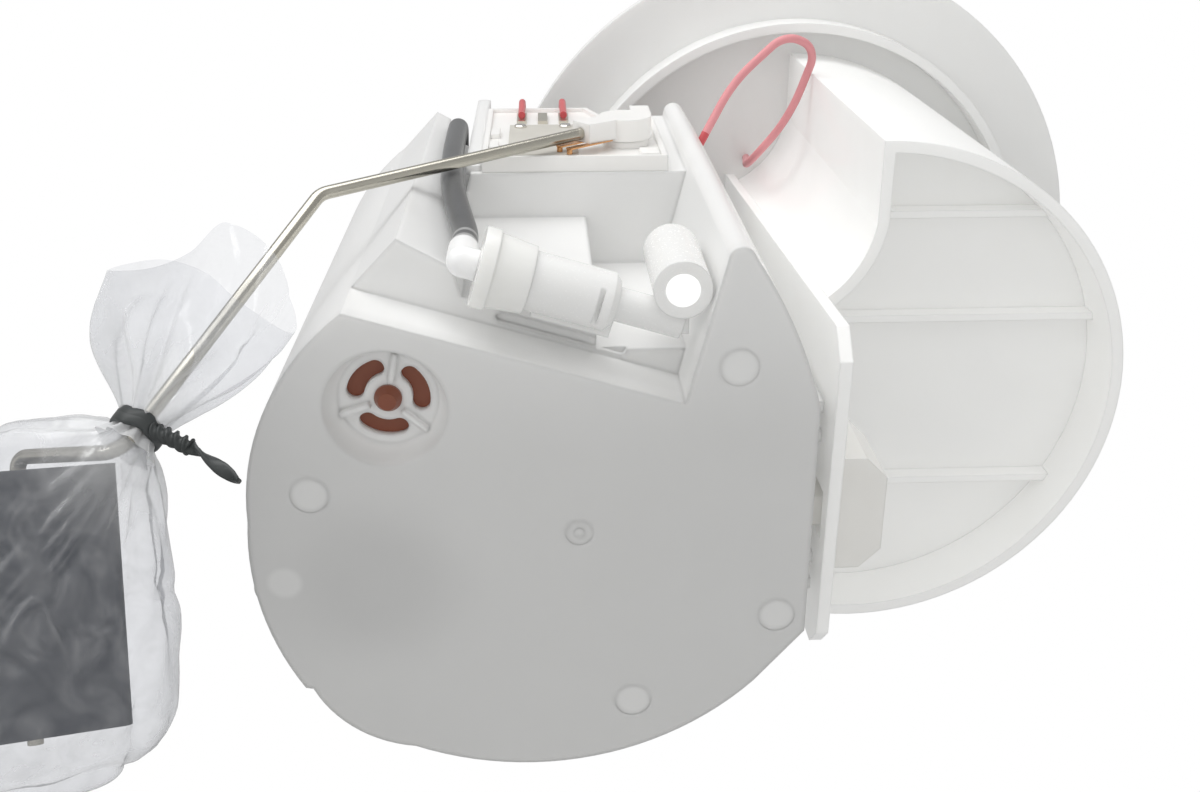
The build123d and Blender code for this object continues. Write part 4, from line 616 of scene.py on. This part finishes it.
def round_the_rim(turn):
    """A point of the closed line through the rim's points; turn runs from 0 to 1."""
    place = turn * len(RIM)
    first = int(place)
    return between(*(RIM[(first + n) % len(RIM)] for n in (-1, 0, 1, 2)), place - first)


def loft(bm, stations):
    """Extrudes a ring of vertices through stations, each a list of as many points."""
    ring = bmesh.ops.create_circle(bm, segments=len(stations[0]), radius=1.0)["verts"]
    for vert, place in zip(ring, stations[0]):
        vert.co = place
    for station in stations[1:]:
        loop = list({edge for vert in ring for edge in vert.link_edges
                     if edge.verts[0] in ring and edge.verts[1] in ring})
        made = bmesh.ops.extrude_edge_only(bm, edges=loop)["geom"]
        new = {v for v in made if isinstance(v, bmesh.types.BMVert)}
        ring = [next(e.other_vert(vert) for e in vert.link_edges if e.other_vert(vert) in new)
                for vert in ring]
        for vert, place in zip(ring, station):
            vert.co = place
    return ring


rim_middle = sum(RIM, Vector()) / len(RIM)
to_rim = RIM[0] - rim_middle
neck_right = (to_rim - ARM_RUN * to_rim.dot(ARM_RUN)).normalized()
neck_up = ARM_RUN.cross(neck_right)
if neck_up.dot(RIM[2] - rim_middle) < 0:
    neck_up = -neck_up


def around(angle):
    """The direction away from the arm at an angle round the neck."""
    return neck_right * math.cos(angle) + neck_up * math.sin(angle)


stations = []
for below, wider in NECK_FOOT:
    ring = []
    for n in range(RIM_SEGMENTS):
        angle = 2 * math.pi * n / RIM_SEGMENTS
        radius = NECK_RADIUS + wider + NECK_PLEAT * math.sin(MOUTH_FOLDS * angle)
        ring.append(TIE_MIDDLE - ARM_RUN * below + around(angle) * radius)
    stations.append(ring)
for step in range(MOUTH_STEPS + 1):
    share = step / MOUTH_STEPS
    open_share = share ** MOUTH_SPREAD
    core = TIE_MIDDLE.lerp(rim_middle, open_share)
    ring = []
    for n in range(RIM_SEGMENTS):
        turn = n / RIM_SEGMENTS
        angle = 2 * math.pi * turn
        drift = noise.noise(Vector((turn * 5, share * 1.5, 4.0)))
        fold = math.sin(MOUTH_FOLDS * angle + MOUTH_TWIST * drift)
        neck = TIE_MIDDLE + around(angle) * (NECK_RADIUS + NECK_PLEAT * fold)
        spot = neck.lerp(round_the_rim(turn), open_share)
        outward = (spot - core).normalized()
        spot += outward * (
            MOUTH_BELLY * math.sin(math.pi * share)
            + MOUTH_FOLD_HEIGHT * fold * math.sin(math.pi * min(1.0, share * 1.25)))
        wrinkle = crease(spot, *MOUTH_CREASE[1:])
        spot -= outward * MOUTH_CREASE[0] * wrinkle * share * (1.2 - share)
        ring.append(spot)
    stations.append(ring)
bm = bmesh.new()
loft(bm, stations)
mouth = new_mesh("bag_mouth", bm, "level_arm")
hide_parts("transit_bag")


# ---------------------------------------------------------------- transit bag: film
# Thin clear polythene for both pieces: nearly clear where it lies flat, milky where it is
# gathered, and gleaming where it turns away or wrinkles.
HAZE_SCALE = 0.12
WRINKLE_SCALE = 0.075
WRINKLE_HEIGHT = 0.7
FILM_GRAIN = 0.9
GATHERED_CORE = 3.0
GATHERED_REACH = 20.0
EDGE_COVER = 0.62
HAZE_COVER = 0.30
GATHERED_COVER = 0.30
LEAST_COVER = 0.06
CLEAR_FILM = (0.905, 0.91, 0.925, 1.0)
MILKY_FILM = (0.86, 0.865, 0.87, 1.0)


def film(name):
    """Clear film over what is behind it, with a milky gloss that grows with folds."""
    made = bpy.data.materials.new(name)
    made.use_nodes = True
    tree = Tree(made.node_tree)
    where = place_in_mm(tree)
    haze = tree.add("TexNoise", sockets={
        "Vector": where, "Scale": HAZE_SCALE, "Detail": 5.0, "Distortion": 2.0})
    wrinkle = tree.add("TexNoise", {"noise_type": "RIDGED_MULTIFRACTAL"}, {
        "Vector": where, "Scale": WRINKLE_SCALE, "Detail": 2.5, "Distortion": 1.0})
    fine = tree.add("TexNoise", sockets={"Vector": where, "Scale": FILM_GRAIN, "Detail": 3.0})
    bump = tree.add("Bump", sockets={
        "Strength": 0.45, "Distance": WRINKLE_HEIGHT * MM, "Height": wrinkle * 0.8 + fine * 0.03})
    turned = tree.add("LayerWeight", sockets={"Blend": 0.42, "Normal": bump}, out="Facing")
    gathered = ball_mask(tree, where, tuple(TIE_MIDDLE), GATHERED_CORE, GATHERED_REACH)
    body = tree.add("BsdfPrincipled", sockets={
        "Base Color": MILKY_FILM, "Roughness": fine * 0.08 + 0.05, "IOR": 1.52, "Normal": bump,
        "Specular IOR Level": 1.0})
    clear = tree.add("BsdfTransparent", sockets={"Color": CLEAR_FILM})
    cover = turned ** 1.6 * EDGE_COVER + haze ** 2.0 * HAZE_COVER + gathered * GATHERED_COVER
    cover = (cover + LEAST_COVER).clamped()
    tree.add("OutputMaterial", sockets={
        "Surface": tree.add("MixShader", sockets={0: cover, 1: clear, 2: body})})
    return made


bag_film = film("bag_film")
pouch.data.materials.append(bag_film)
mouth.data.materials.append(bag_film)


# ---------------------------------------------------------------- bag tie
# A flat plastic-coated wire tie: two turns drawn tight round the gathered neck, the ends
# twisted together into a short knot, and one end left sticking out as a twisted ribbon.
TIE_RIBBON = (1.25, 0.55)
TIE_TURNS = 2
TIE_PITCH = 1.5
TURN_STEPS = 72
TIE_SLACK = 0.25
TIE_WOBBLE = 0.18
TIE_WAVES = 5
RIBBON_POINTS = 12
RIBBON_SQUARE = 0.7
KNOT_LINE = [Vector(point) for point in (
    (-64.6, -26.2, -11.2), (-61.4, -25.9, -13.1), (-58.0, -24.9, -14.8))]
TAIL_LINE = [Vector(point) for point in (
    (-58.0, -24.9, -14.8), (-56.2, -24.6, -16.1), (-52.8, -22.8, -18.1), (-49.8, -21.2, -19.6))]
KNOT = (KNOT_LINE, 2.6, (1.5, 0.85), 60)
TAIL = (TAIL_LINE, 0.8, (1.15, 0.40), 48)
TIE_BLACK = (0.035, 0.040, 0.040)


def ribbon(middle, forward, side, spin, half):
    """The rounded outline of a flat ribbon at a place on its line."""
    up = forward.cross(side).normalized()
    side = up.cross(forward).normalized()
    points = []
    for n in range(RIBBON_POINTS):
        angle = 2 * math.pi * n / RIBBON_POINTS
        flat_x, flat_y = (
            size * math.copysign(abs(part) ** RIBBON_SQUARE, part)
            for size, part in zip(half, (math.cos(angle), math.sin(angle))))
        x = flat_x * math.cos(spin) - flat_y * math.sin(spin)
        y = flat_x * math.sin(spin) + flat_y * math.cos(spin)
        points.append(middle + side * x + up * y)
    return points


def along(line, share):
    """A point and a direction on an open line, rounded at its corners, by share of its runs."""
    place = share * (len(line) - 1)
    first = min(int(place), len(line) - 2)
    last = len(line) - 1
    near = [line[max(0, min(last, first + n))] for n in (-1, 0, 1, 2)]
    return between(*near, place - first), (near[2] - near[1]).normalized()


bm = bmesh.new()
wrap_steps = TURN_STEPS * TIE_TURNS
stations = []
for step in range(wrap_steps + 1):
    angle = 2 * math.pi * step / TURN_STEPS
    forward = (neck_up * math.cos(angle) - neck_right * math.sin(angle)).normalized()
    lift = (step / wrap_steps - 0.5) * TIE_PITCH * (TIE_TURNS - 1)
    lift += TIE_WOBBLE * math.sin(TIE_WAVES * angle)
    middle = TIE_MIDDLE + around(angle) * (NECK_RADIUS + TIE_RIBBON[1] + TIE_SLACK) + ARM_RUN * lift
    stations.append(ribbon(middle, forward, ARM_RUN, 0.0, TIE_RIBBON))
for line, turns, half, steps in (KNOT, TAIL):
    bmesh.ops.contextual_create(bm, geom=loft(bm, stations))
    stations = []
    for step in range(steps + 1):
        spot, forward = along(line, step / steps)
        stations.append(ribbon(spot, forward, ARM_RUN, 2 * math.pi * turns * step / steps, half))
bmesh.ops.contextual_create(bm, geom=loft(bm, stations))
bmesh.ops.holes_fill(bm, edges=[e for e in bm.edges if e.is_boundary], sides=0)
bmesh.ops.recalc_face_normals(bm, faces=bm.faces)
tie = new_mesh("wire_tie", bm, "level_arm")
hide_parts("bag_tie")
tie.data.materials.append(rubber("tie_plastic", TIE_BLACK, rough=0.38, sheen=0.0))
